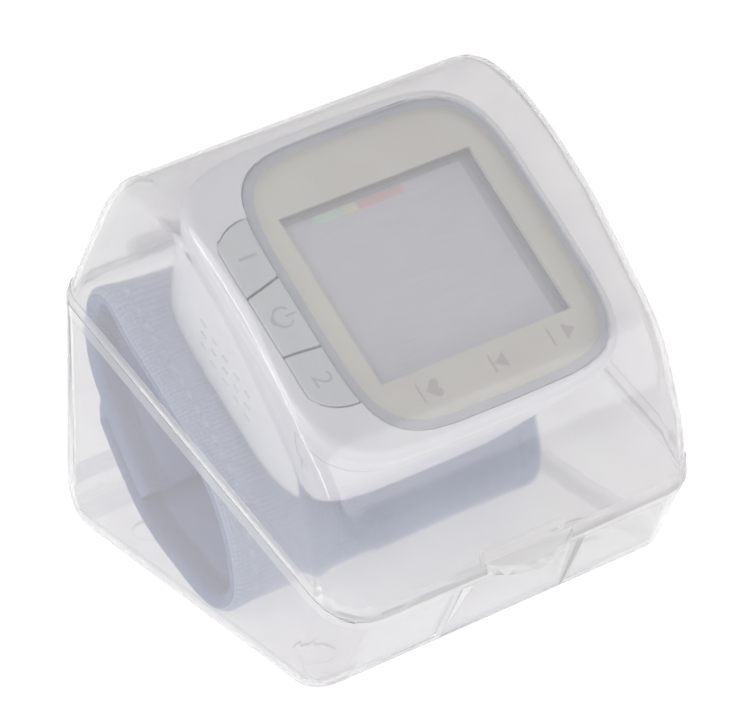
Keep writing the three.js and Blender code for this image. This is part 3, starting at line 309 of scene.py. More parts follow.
def glossy_white_abs():
    """Polished mouldings: nearly even white, with a soft gloss and a very faint orange peel."""
    material, tree, shader = new_material("glossy_white_abs", ior=1.53)
    paint(tree, shader, grain(tree, 25.0), "#e2e3ea", "#e8e9ee")
    polish(tree, shader, grain(tree, 6.0, detail=4.0), 0.2, 0.3)
    emboss(tree, shader, grain(tree, 1.2), depth=0.01, strength=0.2)
    return material


def satin_grey_abs(name, dark, light):
    """Spark-eroded mouldings: even grey with a fine grit that spreads the gloss."""
    material, tree, shader = new_material(name, ior=1.53)
    grit = grain(tree, GRIT)
    paint(tree, shader, grit, dark, light)
    polish(tree, shader, grit, 0.42, 0.55)
    emboss(tree, shader, grit, depth=0.02, strength=0.3)
    return material


WHITE_ABS = glossy_white_abs()
KEY_ABS = satin_grey_abs("satin_grey_abs", "#c6cace", "#ced2d6")
# The darker grey of the slot walls is painted shade, because little light reaches into the slots.
SLOT_PAINTED_SHADE = satin_grey_abs("slot_wall_painted_shade", "#7c8088", "#868a92")
MARK_ABS = satin_grey_abs("key_mark_grey", "#a9aeb6", "#b2b7be")
DARK_ABS = satin_grey_abs("dark_grey_abs", "#3d4046", "#484c52")
FRAME_ABS = satin_grey_abs("display_frame_grey", "#8e939d", "#989da6")
print("materials so far", len(bpy.data.materials))

# %% [markdown]
# The display is a stack: a clear acrylic lens with a bevelled rim, a warm grey print behind it, and the
# liquid crystal glass deeper down on its silver grey reflector. The rim of the lens shows the dark gap
# beside it, so its bevel gets a blue grey painted shade.

# %% Finishes of the display
STREAK_LENGTH = 8
STREAK_WIDTH = 0.4


def clear_acrylic():
    """Polished acrylic: nearly invisible but for its mirror gloss and a few hairline scratches."""
    material, tree, shader = new_material("clear_acrylic", alpha=0.08, ior=1.49)
    shader.inputs["Base Color"].default_value = linear("#f2f2f0")
    polish(tree, shader, grain(tree, 4.0, detail=5.0), 0.02, 0.1)
    return material


def acrylic_rim_painted_shade():
    """The bevel of the lens, painted blue grey as the shade of the dark gap seen beside it."""
    material, tree, shader = new_material("acrylic_rim_painted_shade", alpha=0.8, roughness=0.12, ior=1.49)
    paint(tree, shader, grain(tree, 7.0), "#a9aeba", "#b7bcc7")
    return material


def print_and_shade_film(name, dark, light):
    """Screen print on film, and the painted shade on the display glass: an even colour with the faint
    speckle of the ink.
    """
    material, tree, shader = new_material(name, roughness=0.5)
    speckle = grain(tree, 0.45, detail=3.0)
    paint(tree, shader, speckle, dark, light)
    emboss(tree, shader, speckle, depth=0.01, strength=0.2)
    return material


def liquid_crystal_glass():
    """Display glass over a reflector that is brushed one way, so fine streaks run across it."""
    material, tree, shader = new_material("liquid_crystal_glass", roughness=0.25, ior=1.5)
    coords = add_node(tree, "ShaderNodeTexCoord")
    along, across = 1 / (STREAK_LENGTH * MM), 1 / (STREAK_WIDTH * MM)
    stretch = add_node(
        tree,
        "ShaderNodeMapping",
        inputs={"Scale": (along, across, across)},
        links={"Vector": coords.outputs["Object"]},
    )
    streaks = add_node(
        tree, "ShaderNodeTexNoise", inputs={"Scale": 1.0}, links={"Vector": stretch.outputs["Vector"]}
    )
    paint(tree, shader, streaks.outputs["Fac"], "#c4c6d0", "#cdced7")
    return material


ACRYLIC = clear_acrylic()
# The blue grey of the lens's bevel is painted shade for the gap beside it.
ACRYLIC_RIM_SHADE = acrylic_rim_painted_shade()
MASK_PRINT = print_and_shade_film("warm_grey_print", "#cbc9bf", "#d2d0c7")
MARK_PRINT = print_and_shade_film("mark_print", "#a8a7a3", "#b1b0ac")
# Painted shade: this darker grey stands for the shade of the window on the display glass.
WINDOW_PAINTED_SHADE = print_and_shade_film("painted_window_shade", "#a3a6b0", "#acafb8")
LCD_GLASS = liquid_crystal_glass()
SCALE_INKS = [
    print_and_shade_film("scale_green", "#bfd6cd", "#c8ddd4"),
    print_and_shade_film("scale_yellow", "#d9d4bd", "#dfdac5"),
    print_and_shade_film("scale_red", "#d0a8b1", "#d7b1b9"),
]
print("materials so far", len(bpy.data.materials))

# %% [markdown]
# The cuff is a brushed knit laminated to foam, bound at its edges with a ribbed tape and sewn with one
# row of stitches. Cloth patterns follow the cloth, so they read the UV map that the strip brings along,
# and each cloth is made once its strip's size is known. A knit course is about 0.5 mm, and it is drawn
# at 0.9 mm so that it shows. The wave texture has one band per unit at the scale named below.

# %% Finishes of the cuff
COURSE = 0.9
ONE_BAND = 0.314
WEAVE_SHARE = 0.5


def woven_cloth(name, dark, light, size, spacing, nap, sheen=0.35):
    """Cloth on its own UV map, with the strip's width and length and the threads' spacing in mm."""
    material, tree, shader = new_material(name, roughness=0.92, sheen_weight=sheen, sheen_roughness=0.5)
    coords = add_node(tree, "ShaderNodeTexCoord")
    in_mm = add_node(
        tree,
        "ShaderNodeMapping",
        inputs={"Scale": (size[0] / spacing, size[1] / spacing, 1)},
        links={"Vector": coords.outputs["UV"]},
    )
    threads = []
    for direction in ("X", "Y"):
        wave = add_node(
            tree,
            "ShaderNodeTexWave",
            {"bands_direction": direction},
            {"Scale": ONE_BAND, "Distortion": 1.2, "Detail": 1.0},
            {"Vector": in_mm.outputs["Vector"]},
        )
        threads.append(wave.outputs["Fac"])
    weave = add_node(
        tree, "ShaderNodeMath", {"operation": "MULTIPLY"}, links={0: threads[0], 1: threads[1]}
    ).outputs["Value"]
    fuzz = grain(tree, nap, detail=4.0)
    mixed = add_node(
        tree, "ShaderNodeMath", {"operation": "MULTIPLY_ADD"}, {1: WEAVE_SHARE}, {0: weave, 2: fuzz}
    ).outputs["Value"]
    paint(tree, shader, mixed, dark, light, 0.35, 1.0)
    emboss(tree, shader, mixed, depth=0.12, strength=0.5)
    return material


# %% [markdown]
# What lies inside is seldom seen, but each piece still has its own stuff: solder resist on the board,
# nickel on the contacts, zinc on the screws and the pump's can, silicone on the tubes, a film jacket on
# the cells.

# %% Finishes of the inner pieces
TRACK_PITCH = 9


def solder_resist():
    """Green lacquer over copper tracks, which show as slightly lighter lines."""
    material, tree, shader = new_material("solder_resist", roughness=0.4)
    coords = add_node(tree, "ShaderNodeTexCoord")
    tracks = add_node(
        tree,
        "ShaderNodeTexBrick",
        inputs={"Scale": 1 / (TRACK_PITCH * MM), "Mortar Size": 0.03},
        links={"Vector": coords.outputs["Object"]},
    )
    paint(tree, shader, tracks.outputs["Fac"], "#2a6342", "#3f7d58")
    return material


def plated_metal(name, dark, light, streak):
    """Plated sheet and wire: bright metal with streaks of a width in millimetres."""
    material, tree, shader = new_material(name, metallic=1.0)
    streaks = grain(tree, streak, detail=4.0)
    paint(tree, shader, streaks, dark, light)
    polish(tree, shader, streaks, 0.22, 0.4)
    return material


def milky_silicone(name, dark, light, rough):
    """Soft moulded stuff: cloudy, matt, with a faint bloom."""
    material, tree, shader = new_material(name, roughness=rough, subsurface_weight=0.15)
    cloud = grain(tree, 2.5, detail=3.0)
    paint(tree, shader, cloud, dark, light)
    emboss(tree, shader, cloud, depth=0.02, strength=0.2)
    return material


def give_finish(piece, finish):
    """Makes a finish the only one of a piece."""
    piece.data.materials.clear()
    piece.data.materials.append(finish)


SLOT_FINISHES = {
    "board": solder_resist(),
    "contact_metal": plated_metal("nickel_plate", "#bfbcb2", "#d2cfc6", 0.8),
    "steel": plated_metal("zinc_plate", "#b2b6ba", "#c5c9cc", 1.1),
    "silicone": milky_silicone("milky_silicone", "#d6d6d0", "#dfdfda", 0.55),
    "contact_rubber": milky_silicone("conductive_rubber", "#2f3236", "#383b40", 0.8),
    "cuff_leaf": milky_silicone("sheet_polypropylene", "#d2d5d7", "#dcdee0", 0.45),
    "cell_can": satin_grey_abs("film_jacket", "#4a4f56", "#565b62"),
    "inner_plastic": DARK_ABS,
    "mask_print": MASK_PRINT,
    "lcd_glass": LCD_GLASS,
}
slot_of = {row["node"]: row["material_slot"] for row in frame["record"]["subparts"]}
for node, slot in slot_of.items():
    if slot in SLOT_FINISHES:
        give_finish(nodes[node], SLOT_FINISHES[slot])
give_finish(nodes["lcd_frame"], FRAME_ABS)
print("finished nodes", sum(slot in SLOT_FINISHES for slot in slot_of.values()))

# %% [markdown]
# A moulded edge is never sharp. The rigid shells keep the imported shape, so each is copied, its loose
# triangles are merged, its flat faces become single faces again, and its edges get a small bevel that
# catches the light. A piece that is round already, such as the case, takes an edge of 0 and gets no
# bevel.

# %% Copies with soft edges
SHARP = math.radians(38)
FLAT = math.radians(0.02)
MERGE = 0.002 * MM


def select_only(piece):
    """Selects one object and makes it the active one."""
    bpy.ops.object.select_all(action="DESELECT")
    piece.select_set(True)
    bpy.context.view_layer.objects.active = piece


def apply_modifiers(piece):
    """Applies every modifier of a piece in turn."""
    select_only(piece)
    for modifier in list(piece.modifiers):
        bpy.ops.object.modifier_apply(modifier=modifier.name)


def mark_edges(piece, shortest):
    """Gives a bevel weight to the sharp edges of a piece that are longer than a length in millimetres."""
    mesh = bmesh.new()
    mesh.from_mesh(piece.data)
    weight = mesh.edges.layers.float.new("bevel_weight_edge")
    for edge in mesh.edges:
        if edge.is_manifold and edge.calc_face_angle() > SHARP and edge.calc_length() > shortest * MM:
            edge[weight] = 1
    mesh.to_mesh(piece.data)
    mesh.free()


def dressed_copy(node, name, body, edge, finish, shortest=0.0, reshape=None):
    """A copy of a node, reshaped if asked, with edges above a shortest length bevelled, in mm."""
    select_only(nodes[node])
    bpy.ops.object.duplicate()
    piece = bpy.context.object
    piece.name = name
    del piece["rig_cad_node"]
    piece.parent = None
    bpy.ops.object.mode_set(mode="EDIT")
    bpy.ops.mesh.select_all(action="SELECT")
    bpy.ops.mesh.remove_doubles(threshold=MERGE)
    bpy.ops.mesh.dissolve_limited(angle_limit=FLAT)
    bpy.ops.object.mode_set(mode="OBJECT")
    if reshape:
        reshape(piece)
    if edge:
        mark_edges(piece, shortest)
        bevel = piece.modifiers.new("soft_edge", "BEVEL")
        bevel.width = edge * MM
        bevel.segments = 2
        bevel.limit_method = "WEIGHT"
        bevel.use_clamp_overlap = False
        apply_modifiers(piece)
    select_only(piece)
    bpy.ops.object.shade_smooth_by_angle(angle=SHARP)
    weighted = piece.modifiers.new("flat_stays_flat", "WEIGHTED_NORMAL")
    weighted.keep_sharp = True
    apply_modifiers(piece)
    give_finish(piece, finish)
    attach(piece, body)
    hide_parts(node)
    return piece


# %% [markdown]
# On the real case the rim hardly stands out from the wall, and the lid narrows a little towards its
# top, as every moulding does that has to leave its mould. So the outer faces of the rim are drawn in,
# and the lid is tapered. The thumb recess runs out at its foot, because a ledge there mirrors the dark
# and shows as a bar.

# %% The case
SEAM_SLOPE = math.radians(19.4)
SEAM_NORMAL = Vector((0, -math.sin(SEAM_SLOPE), math.cos(SEAM_SLOPE)))
SEAM_Z = 36.3 * MM
RIM_HEIGHT = 2.6 * MM
RIM_DRAW = 0.6 * MM
RIM_UPRIGHT = 0.5
WALL_X = 42.75 * MM
WALL_FRONT_Y = -45.0 * MM
CORNER_X = 33.5 * MM
CORNER_Y = 35.0 * MM
LID_DRAFT = 0.034
RECESS_X = 16.5 * MM
RECESS_Y = -30.0 * MM
LEDGE_UP = 0.8
LEDGE_Z = 6.0 * MM
LEDGE_MERGE = 0.05 * MM
PIN_EDGE = 0.1


def above_seam(point):
    """The height of a point above the plane between lid and base."""
    return (point.z - SEAM_Z) * math.cos(SEAM_SLOPE) - point.y * math.sin(SEAM_SLOPE)


def is_rim_face(face):
    """True for the outer faces of the rim at the sides, the front and the corners between them."""
    middle = face.calc_center_median()
    if max(abs(above_seam(v.co)) for v in face.verts) > RIM_HEIGHT:
        return False
    if abs(face.normal.dot(SEAM_NORMAL)) > RIM_UPRIGHT or face.normal.xy.dot(middle.xy) < 0:
        return False
    at_corner = abs(middle.x) > CORNER_X and abs(middle.y) > CORNER_Y
    return at_corner or abs(middle.x) > WALL_X or middle.y < WALL_FRONT_Y


def draw_in_rim(piece):
    """Moves the outer faces of a rim towards the wall."""
    mesh = bmesh.new()
    mesh.from_mesh(piece.data)
    moves = {}
    for face in mesh.faces:
        if is_rim_face(face):
            for vertex in face.verts:
                moves[vertex] = moves.get(vertex, Vector()) + face.normal
    for vertex, out in moves.items():
        vertex.co -= out.normalized() * RIM_DRAW
    mesh.to_mesh(piece.data)
    mesh.free()


def in_recess(corners):
    """True where all corners lie at the thumb recess in the front wall."""
    return all(abs(c.x) < RECESS_X and c.y < RECESS_Y for c in corners)


def run_out_recess(piece):
    """Draws in the rim of the base and lets the thumb recess run out at the foot instead of at a ledge."""
    draw_in_rim(piece)
    mesh = bmesh.new()
    mesh.from_mesh(piece.data)
    ledge = set()
    for face in mesh.faces:
        corners = [v.co for v in face.verts]
        low = all(c.z < LEDGE_Z for c in corners)
        if face.normal.z > LEDGE_UP and low and in_recess(corners):
            ledge.update(face.verts)
    split = sum(v.co.y for v in ledge) / max(len(ledge), 1)
    outer = [v for v in ledge if v.co.y < split]
    for vertex in ledge.difference(outer):
        vertex.co = min(outer, key=lambda v: abs(v.co.x - vertex.co.x)).co
    bmesh.ops.remove_doubles(mesh, verts=list(ledge), dist=LEDGE_MERGE)
    mesh.to_mesh(piece.data)
    mesh.free()
    print("ledge corners", len(ledge))


def taper_lid(piece):
    """Narrows the lid towards its top and draws in its rim."""
    draw_in_rim(piece)
    for vertex in piece.data.vertices:
        rise = max(above_seam(vertex.co) - RIM_HEIGHT, 0)
        vertex.co.x *= 1 - LID_DRAFT * rise / WALL_X


case_base = dressed_copy("case_base", "case_base_shell", "case", 0, FROSTED, reshape=run_out_recess)
case_lid = dressed_copy("case_lid", "case_lid_shell", "lid", 0, FROSTED, reshape=taper_lid)
hinge_pin = dressed_copy("case_hinge_pin", "hinge_pin_rod", "case", PIN_EDGE, STEP_FROSTED)

# %% [markdown]
# Natural plastic looks milkier where light has a longer way through it: in the thick rim, along the
# edge of the foot, and most at the hinge and the steps of the recess, which are seen along the wall. A
# piece can carry several materials, and each face has the index of its own. The walls throw no shadow,
# so that what lies inside is lit as in open air.

# %% Milkier faces of the case
WALL = 0
RIM = 1
STEP = 2
STEP_AREA = 60 * MM**2
HINGE_Y = 44.5 * MM
FOOT_Z = 4.3 * MM
FLOOR_FLAT = 0.98


def case_finish(corners, area, normal):
    """Which finish a face of the case has, from its corners, area and normal."""
    if in_recess(corners) and area < STEP_AREA:
        return STEP
    if all(c.y > HINGE_Y for c in corners):
        return STEP
    if abs(normal.z) < FLOOR_FLAT and all(c.z < FOOT_Z for c in corners):
        return RIM
    if all(abs(above_seam(c)) < RIM_HEIGHT for c in corners):
        return RIM
    return WALL


for piece in (case_base, case_lid):
    piece.data.materials.append(THICK_FROSTED)
    piece.data.materials.append(STEP_FROSTED)
    for polygon in piece.data.polygons:
        corners = [piece.data.vertices[v].co for v in polygon.vertices]
        polygon.material_index = case_finish(corners, polygon.area, polygon.normal)
for piece in (case_base, case_lid, hinge_pin):
    piece.visible_shadow = False
    piece.visible_diffuse = False
print("case faces", [len(piece.data.polygons) for piece in (case_base, case_lid)])

# %% [markdown]
# The monitor's shells get soft edges. The short edges round the sound slots stay sharp, or the bevel
# would close the slots. The walls inside the slots get the darker grey of painted shade, and the bevel
# of the lens gets a blue grey painted shade for the gap beside it.

# %% The monitor's shells
SLOT_X = -34.2 * MM
SLOT_TOP = -8.0 * MM
SLOT_AREA = 4 * MM**2
SLOT_ACROSS = 0.3
SHELL_EDGE = 0.15
SHELL_SHORTEST = 2.0
KEY_EDGE = 0.25
LENS_EDGE = 0.05
LENS_FRONT = 0.999
LENS_BACK = -0.9
housing = dressed_copy("upper_housing", "housing_shell", "case", SHELL_EDGE, WHITE_ABS, SHELL_SHORTEST)
# The small faces inside the sound slots get the darker grey of painted shade.
housing.data.materials.append(SLOT_PAINTED_SHADE)
for polygon in housing.data.polygons:
    middle = MONITOR.inverted() @ polygon.center
    in_wall = middle.x < SLOT_X and middle.z < SLOT_TOP
    if in_wall and abs(polygon.normal.x) < SLOT_ACROSS and polygon.area < SLOT_AREA:
        polygon.material_index = 1
dressed_copy("lower_housing", "housing_floor", "case", SHELL_EDGE, WHITE_ABS)
dressed_copy("battery_cover", "battery_cover_shell", "battery_door", SHELL_EDGE, WHITE_ABS)
KEYS = ("memory_1", "power", "memory_2")
for key in KEYS:
    dressed_copy(f"button_{key}", f"key_cap_{key}", f"key_{key}", KEY_EDGE, KEY_ABS)
lens = dressed_copy("display_lens", "lens_acrylic", "case", LENS_EDGE, ACRYLIC)
lens.visible_shadow = False
# The bevel faces of the lens take the painted shade of the gap beside them.
lens.data.materials.append(ACRYLIC_RIM_SHADE)
for polygon in lens.data.polygons:
    if LENS_BACK < polygon.normal.dot(display_normal) < LENS_FRONT:
        polygon.material_index = 1

# %% [markdown]
# Marks are printed on the mask and the glass and moulded on the keys. A pattern in the finish could
# draw them, but a thin plate has a crisp edge and can ride on the key that carries it. So each mark is
# drawn flat, made a plate and then set on its face.

# %% Mark helpers
MARK_THICK = 0.08
FONT_PER_HEIGHT = 1.4


def put(piece, matrix):
    """Moves a piece by a matrix and applies the move to its mesh."""
    select_only(piece)
    piece.matrix_world = matrix
    bpy.ops.object.transform_apply(location=True, rotation=True, scale=True)


def settle(piece, place, turn, body, finish):
    """Turns a flat mark, puts it at its place in the monitor's frame, in mm, and fixes it to a body."""
    put(piece, MONITOR @ Matrix.Translation(Vector(place) * MM) @ Matrix.Rotation(turn, 4, "Z"))
    give_finish(piece, finish)
    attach(piece, body)


def flat_shape(name, outline):
    """A thin plate with an outline in mm, drawn by moving the corners of a filled circle."""
    bpy.ops.object.select_all(action="DESELECT")
    bpy.ops.mesh.primitive_circle_add(vertices=len(outline), radius=MM, fill_type="NGON")
    piece = bpy.context.object
    piece.name = name
    for vertex, (x, y) in zip(piece.data.vertices, outline):
        vertex.co = Vector((x, y, 0)) * MM
    bpy.ops.object.mode_set(mode="EDIT")
    bpy.ops.mesh.select_all(action="SELECT")
    bpy.ops.mesh.extrude_region_move(TRANSFORM_OT_translate={"value": (0, 0, MARK_THICK * MM)})
    bpy.ops.mesh.select_all(action="SELECT")
    bpy.ops.mesh.normals_make_consistent(inside=False)
    bpy.ops.object.mode_set(mode="OBJECT")
    return piece


def numeral(name, text, height):
    """A numeral of a height in mm, made a thin mesh."""
    bpy.ops.object.select_all(action="DESELECT")
    bpy.ops.object.text_add()
    piece = bpy.context.object
    piece.name = name
    piece.data.body = text
    piece.data.align_x = "CENTER"
    piece.data.align_y = "CENTER"
    piece.data.size = FONT_PER_HEIGHT * height * MM
    piece.data.extrude = MARK_THICK * MM / 2
    bpy.ops.object.convert(target="MESH")
    return piece


def arc_band(name, radius, width, start, end, steps=28):
    """A flat ring segment between two angles in degrees, with sizes in mm."""
    angles = [math.radians(start + (end - start) * k / steps) for k in range(steps + 1)]
    outer = [((radius + width / 2) * math.cos(a), (radius + width / 2) * math.sin(a)) for a in angles]
    inner = [((radius - width / 2) * math.cos(a), (radius - width / 2) * math.sin(a)) for a in angles]
    return flat_shape(name, outer + inner[::-1])


def box_outline(width, height, y=0.0):
    """The corners of a rectangle whose middle lies at a height y."""
    return [
        (-width / 2, y - height / 2),
        (width / 2, y - height / 2),
        (width / 2, y + height / 2),
        (-width / 2, y + height / 2),
    ]


# %% [markdown]
# The keys carry plain signs: a power sign, and the numerals of the two memories. They are turned a
# quarter, because the monitor is read across the wrist.

# %% Marks on the keys
MARK_TURN = math.radians(-90)
NUMERAL = 4.2
POWER_R = 2.0
POWER_LINE = 0.4
POWER_FROM = 125
POWER_TO = 415
POWER_BAR = POWER_R * 1.1
POWER_BAR_UP = POWER_R * 0.85


def key_middle(key):
    """The middle of a key's top face in the monitor's frame, in mm."""
    low, high = flat_box(f"button_{key}")
    return (low[0] + high[0]) / 2, (low[1] + high[1]) / 2, high[2]


for key, text in (("memory_1", "1"), ("memory_2", "2")):
    mark = numeral(f"key_mark_{key}", text, NUMERAL)
    settle(mark, key_middle(key), MARK_TURN, f"key_{key}", MARK_ABS)
ring = arc_band("power_ring", POWER_R, POWER_LINE, POWER_FROM, POWER_TO)
bar = flat_shape("power_bar", box_outline(POWER_LINE, POWER_BAR, POWER_BAR_UP))
for mark in (ring, bar):
    settle(mark, key_middle("power"), MARK_TURN, "key_power", MARK_ABS)

# %% [markdown]
# Beside each reading stands a small picture: an arrow up for the upper pressure, an arrow down for the
# lower one, and a heart for the pulse, each with a dash below it. A heart is a known curve, so a
# formula draws it.

# %% Signs of the readings
MASK_TOP = flat_box("display_mask")[1][2]
READINGS = {"upper": (23.4, -22.2), "lower": (9.2, -22.8), "pulse": (-7.6, -22.8)}
SIGN = 3.3
ARROW_TALL = SIGN * 0.8
HEART = SIGN * 1.15
HEART_SPAN = 32
DASH = SIGN * 1.2
DASH_THICK = 0.35
DASH_UP = -SIGN * 0.95


def heart_outline(size, steps=36):
    """A heart of a width in mm, from a curve that is HEART_SPAN wide."""
    outline = []
    for k in range(steps):
        t = 2 * math.pi * k / steps
        across = 16 * math.sin(t) ** 3
        up = 13 * math.cos(t) - 5 * math.cos(2 * t) - 2 * math.cos(3 * t) - math.cos(4 * t)
        outline.append((-across * size / HEART_SPAN, up * size / HEART_SPAN))
    return outline


arrow = [(-SIGN / 2, 0), (SIGN / 2, 0), (0, ARROW_TALL)]
for reading, (x, y) in READINGS.items():
    if reading == "pulse":
        sign = flat_shape("sign_pulse", heart_outline(HEART))
    else:
        turn = 1 if reading == "upper" else -1
        sign = flat_shape(f"sign_{reading}", [(turn * a, turn * b) for a, b in arrow])
    settle(sign, (x, y, MASK_TOP), MARK_TURN, "case", MARK_PRINT)
    dash = flat_shape(f"sign_dash_{reading}", box_outline(DASH, DASH_THICK, DASH_UP))
    settle(dash, (x, y, MASK_TOP), MARK_TURN, "case", MARK_PRINT)

# %% [markdown]
# The display glass lies deep below its window, which shades it at the right and at the top. That shade
# is painted on the glass as a dark border with a clear edge. Below it, three pale stripes make the
# scale for the reading.

# %% Painted shade and scale of the display
NO_TURN = 0.0
lcd_low, lcd_high = flat_box("lcd_panel")
LCD_TOP = lcd_high[2]
LCD_BORDER = 2.4
SHADE_RIGHT = 1.9
SHADE_TOP = 1.0
window_low = lcd_low + LCD_BORDER
window_high = lcd_high - LCD_BORDER
window_middle = (window_low + window_high) / 2
window_size = window_high - window_low
# A dark border painted on the glass at the right and at the top is the shade of the window.
shade = flat_shape("painted_shade_right", box_outline(SHADE_RIGHT, window_size[1]))
place = (window_high[0] - SHADE_RIGHT / 2, window_middle[1], LCD_TOP)
settle(shade, place, NO_TURN, "case", WINDOW_PAINTED_SHADE)
shade = flat_shape("painted_shade_top", box_outline(window_size[0] - SHADE_RIGHT, SHADE_TOP))
place = (window_middle[0] - SHADE_RIGHT / 2, window_high[1] - SHADE_TOP / 2, LCD_TOP)
settle(shade, place, NO_TURN, "case", WINDOW_PAINTED_SHADE)
SCALE_TOP = 17.4
SCALE_HEIGHT = 1.8
SCALE_EDGES = (-8.9, -2.0, 1.0, 11.8)
for k, ink in enumerate(SCALE_INKS):
    left, right = SCALE_EDGES[k], SCALE_EDGES[k + 1]
    stripe = flat_shape(f"scale_stripe_{k + 1}", box_outline(right - left, SCALE_HEIGHT))
    place = ((left + right) / 2, SCALE_TOP - SCALE_HEIGHT / 2, LCD_TOP)
    settle(stripe, place, NO_TURN, "case", ink)

# %% [markdown]
# The cuff is one long strip, sewn from cloth over foam and wrapped into a loop, with its thin end lying
# over its start. It could be drawn as a curve with a bevel, but a cloth strip needs a soft edge, a sewn
# line and small puckers, so a grid is laid round the loop instead: one way runs round the strip's
# section, the other way round the wrist. This cell draws the loop's line through a few points. The
# upper left fold flares out a little.

# %% The line of the cuff
CUFF_PATH = [
    (-3.5, -54.9), (6, -52.2), (15.5, -48.6), (23, -44.4), (26.4, -39.4),
    (24.4, -34.8), (15.5, -33.1), (4, -33.1), (-9, -34.2), (-18.5, -37.6),
    (-25.5, -42.8), (-29, -48), (-27.6, -53), (-22, -56), (-13, -56.6),
]
CUFF_LEFT = -39.2
CUFF_RIGHT = 33.0
CUFF_THICK = 3.1
FLAP_THICK = 1.5
FLAP_RISE_START = 0.86
FLAP_LENGTH = 0.17
FLAP_GAP = 1.2
FLAP_LIFT = CUFF_THICK + FLAP_GAP
FLARE_START = 5.0
FLARE_CURVE = 1.2
FLARE_SHARE = 0.28
FLARE_SPREAD = 0.05
FLARE_Y = 1.5
FLARE_Z = 3.6
CURVE_STEPS = 40
LINE_STEPS = 400


def smooth_loop(points, steps):
    """Even steps along the closed centripetal curve through some points."""
    p = np.array(points, float)
    curve = []
    for k in range(len(p)):
        a, b, c, d = (p[(k + i) % len(p)] for i in (-1, 0, 1, 2))
        before, here, after = (math.sqrt(np.linalg.norm(v)) for v in (b - a, c - b, d - c))
        leave = ((b - a) / before - (c - a) / (before + here) + (c - b) / here) * here
        arrive = ((c - b) / here - (d - b) / (here + after) + (d - c) / after) * here
        t = np.linspace(0, 1, CURVE_STEPS, endpoint=False)[:, None]
        curve.append(
            b + leave * t + (3 * (c - b) - 2 * leave - arrive) * t**2
            + (2 * (b - c) + leave + arrive) * t**3
        )
    curve = np.vstack([*curve, curve[0][:1]])
    length = np.concatenate([[0], np.cumsum(np.linalg.norm(np.diff(curve, axis=0), axis=1))])
    even = np.linspace(0, length[-1], steps + 1)
    return np.column_stack([np.interp(even, length, curve[:, i]) for i in (0, 1)]), length[-1]


loop_line, loop_length = smooth_loop(CUFF_PATH, LINE_STEPS)
ahead = np.roll(loop_line[:-1], -1, axis=0) - np.roll(loop_line[:-1], 1, axis=0)
loop_out = np.column_stack([ahead[:, 1], -ahead[:, 0]]) / np.linalg.norm(ahead, axis=1)[:, None]
loop_out = np.vstack([loop_out, loop_out[:1]])


def ease(t):
    """0 before the loose end starts to rise, 1 once it lies over the start."""
    s = min(max((t - FLAP_RISE_START) / (1 - FLAP_RISE_START), 0), 1)
    return s * s * (3 - 2 * s)


def swell(offset, half):
    """A soft hump: 1 at no offset, falling off over a half width."""
    return math.exp(-((offset / half) ** 2))


def flare(t, x):
    """How far the cloth flares out at the upper left fold, in the monitor's frame, in mm."""
    side = min(max((FLARE_START - x) / (FLARE_START - CUFF_LEFT), 0), 1) ** FLARE_CURVE
    share = side * swell(t % 1.0 - FLARE_SHARE, FLARE_SPREAD)
    return Vector((0, share * FLARE_Y, share * FLARE_Z))


def cuff_point(t, depth, x):
    """A point of the cuff in the monitor's frame, from its share of the way round, depth and x in mm."""
    at = (t % 1.0) * LINE_STEPS
    steps = np.arange(LINE_STEPS + 1)
    y, z = (np.interp(at, steps, loop_line[:, i]) for i in (0, 1))
    ny, nz = (np.interp(at, steps, loop_out[:, i]) for i in (0, 1))
    out = depth + ease(t) * FLAP_LIFT
    return (Vector((x, y + ny * out, z + nz * out)) + flare(t, x)) * MM


print("cuff loop in mm", round(loop_length, 1))

# %% [markdown]
# A sprung leaf and an air bladder lie inside the cloth and have to bend with its flare. Their flat
# faces have no corners in between that could move, so they are cut into narrow bands first.

# %% The leaf and the bladder
BAND = 3.0


def flare_inside(piece):
    """Cuts a piece inside the cuff into narrow bands and bends it along with the cloth round it."""
    back = MONITOR.inverted()
    mesh = bmesh.new()
    mesh.from_mesh(piece.data)
    for cut in np.arange(CUFF_LEFT, FLARE_START + BAND, BAND):
        everything = mesh.verts[:] + mesh.edges[:] + mesh.faces[:]
        place = MONITOR @ Vector((cut * MM, 0, 0))
        bmesh.ops.bisect_plane(mesh, geom=everything, plane_co=place, plane_no=(1, 0, 0))
    for vertex in mesh.verts:
        x, y, z = (back @ vertex.co) / MM
        nearest = np.argmin(np.hypot(loop_line[:, 0] - y, loop_line[:, 1] - z))
        vertex.co += MONITOR.to_3x3() @ (flare(nearest / LINE_STEPS, x) * MM)
    mesh.to_mesh(piece.data)
    mesh.free()


for node, name in (("cuff_stiffener", "cuff_leaf_sheet"), ("air_bladder", "cuff_bladder")):
    piece = dressed_copy(node, name, "case", 0, SLOT_FINISHES[slot_of[node]], reshape=flare_inside)
    print(name, "corners", len(piece.data.vertices))

# %% [markdown]
# The strip's section is a flat oval. A row of stitches draws it in near both edges, and soft ridges,
# puckers and a slow waviness keep the cloth from looking like sheet metal. The noise comes from a fixed
# field, so each run gives the same folds.

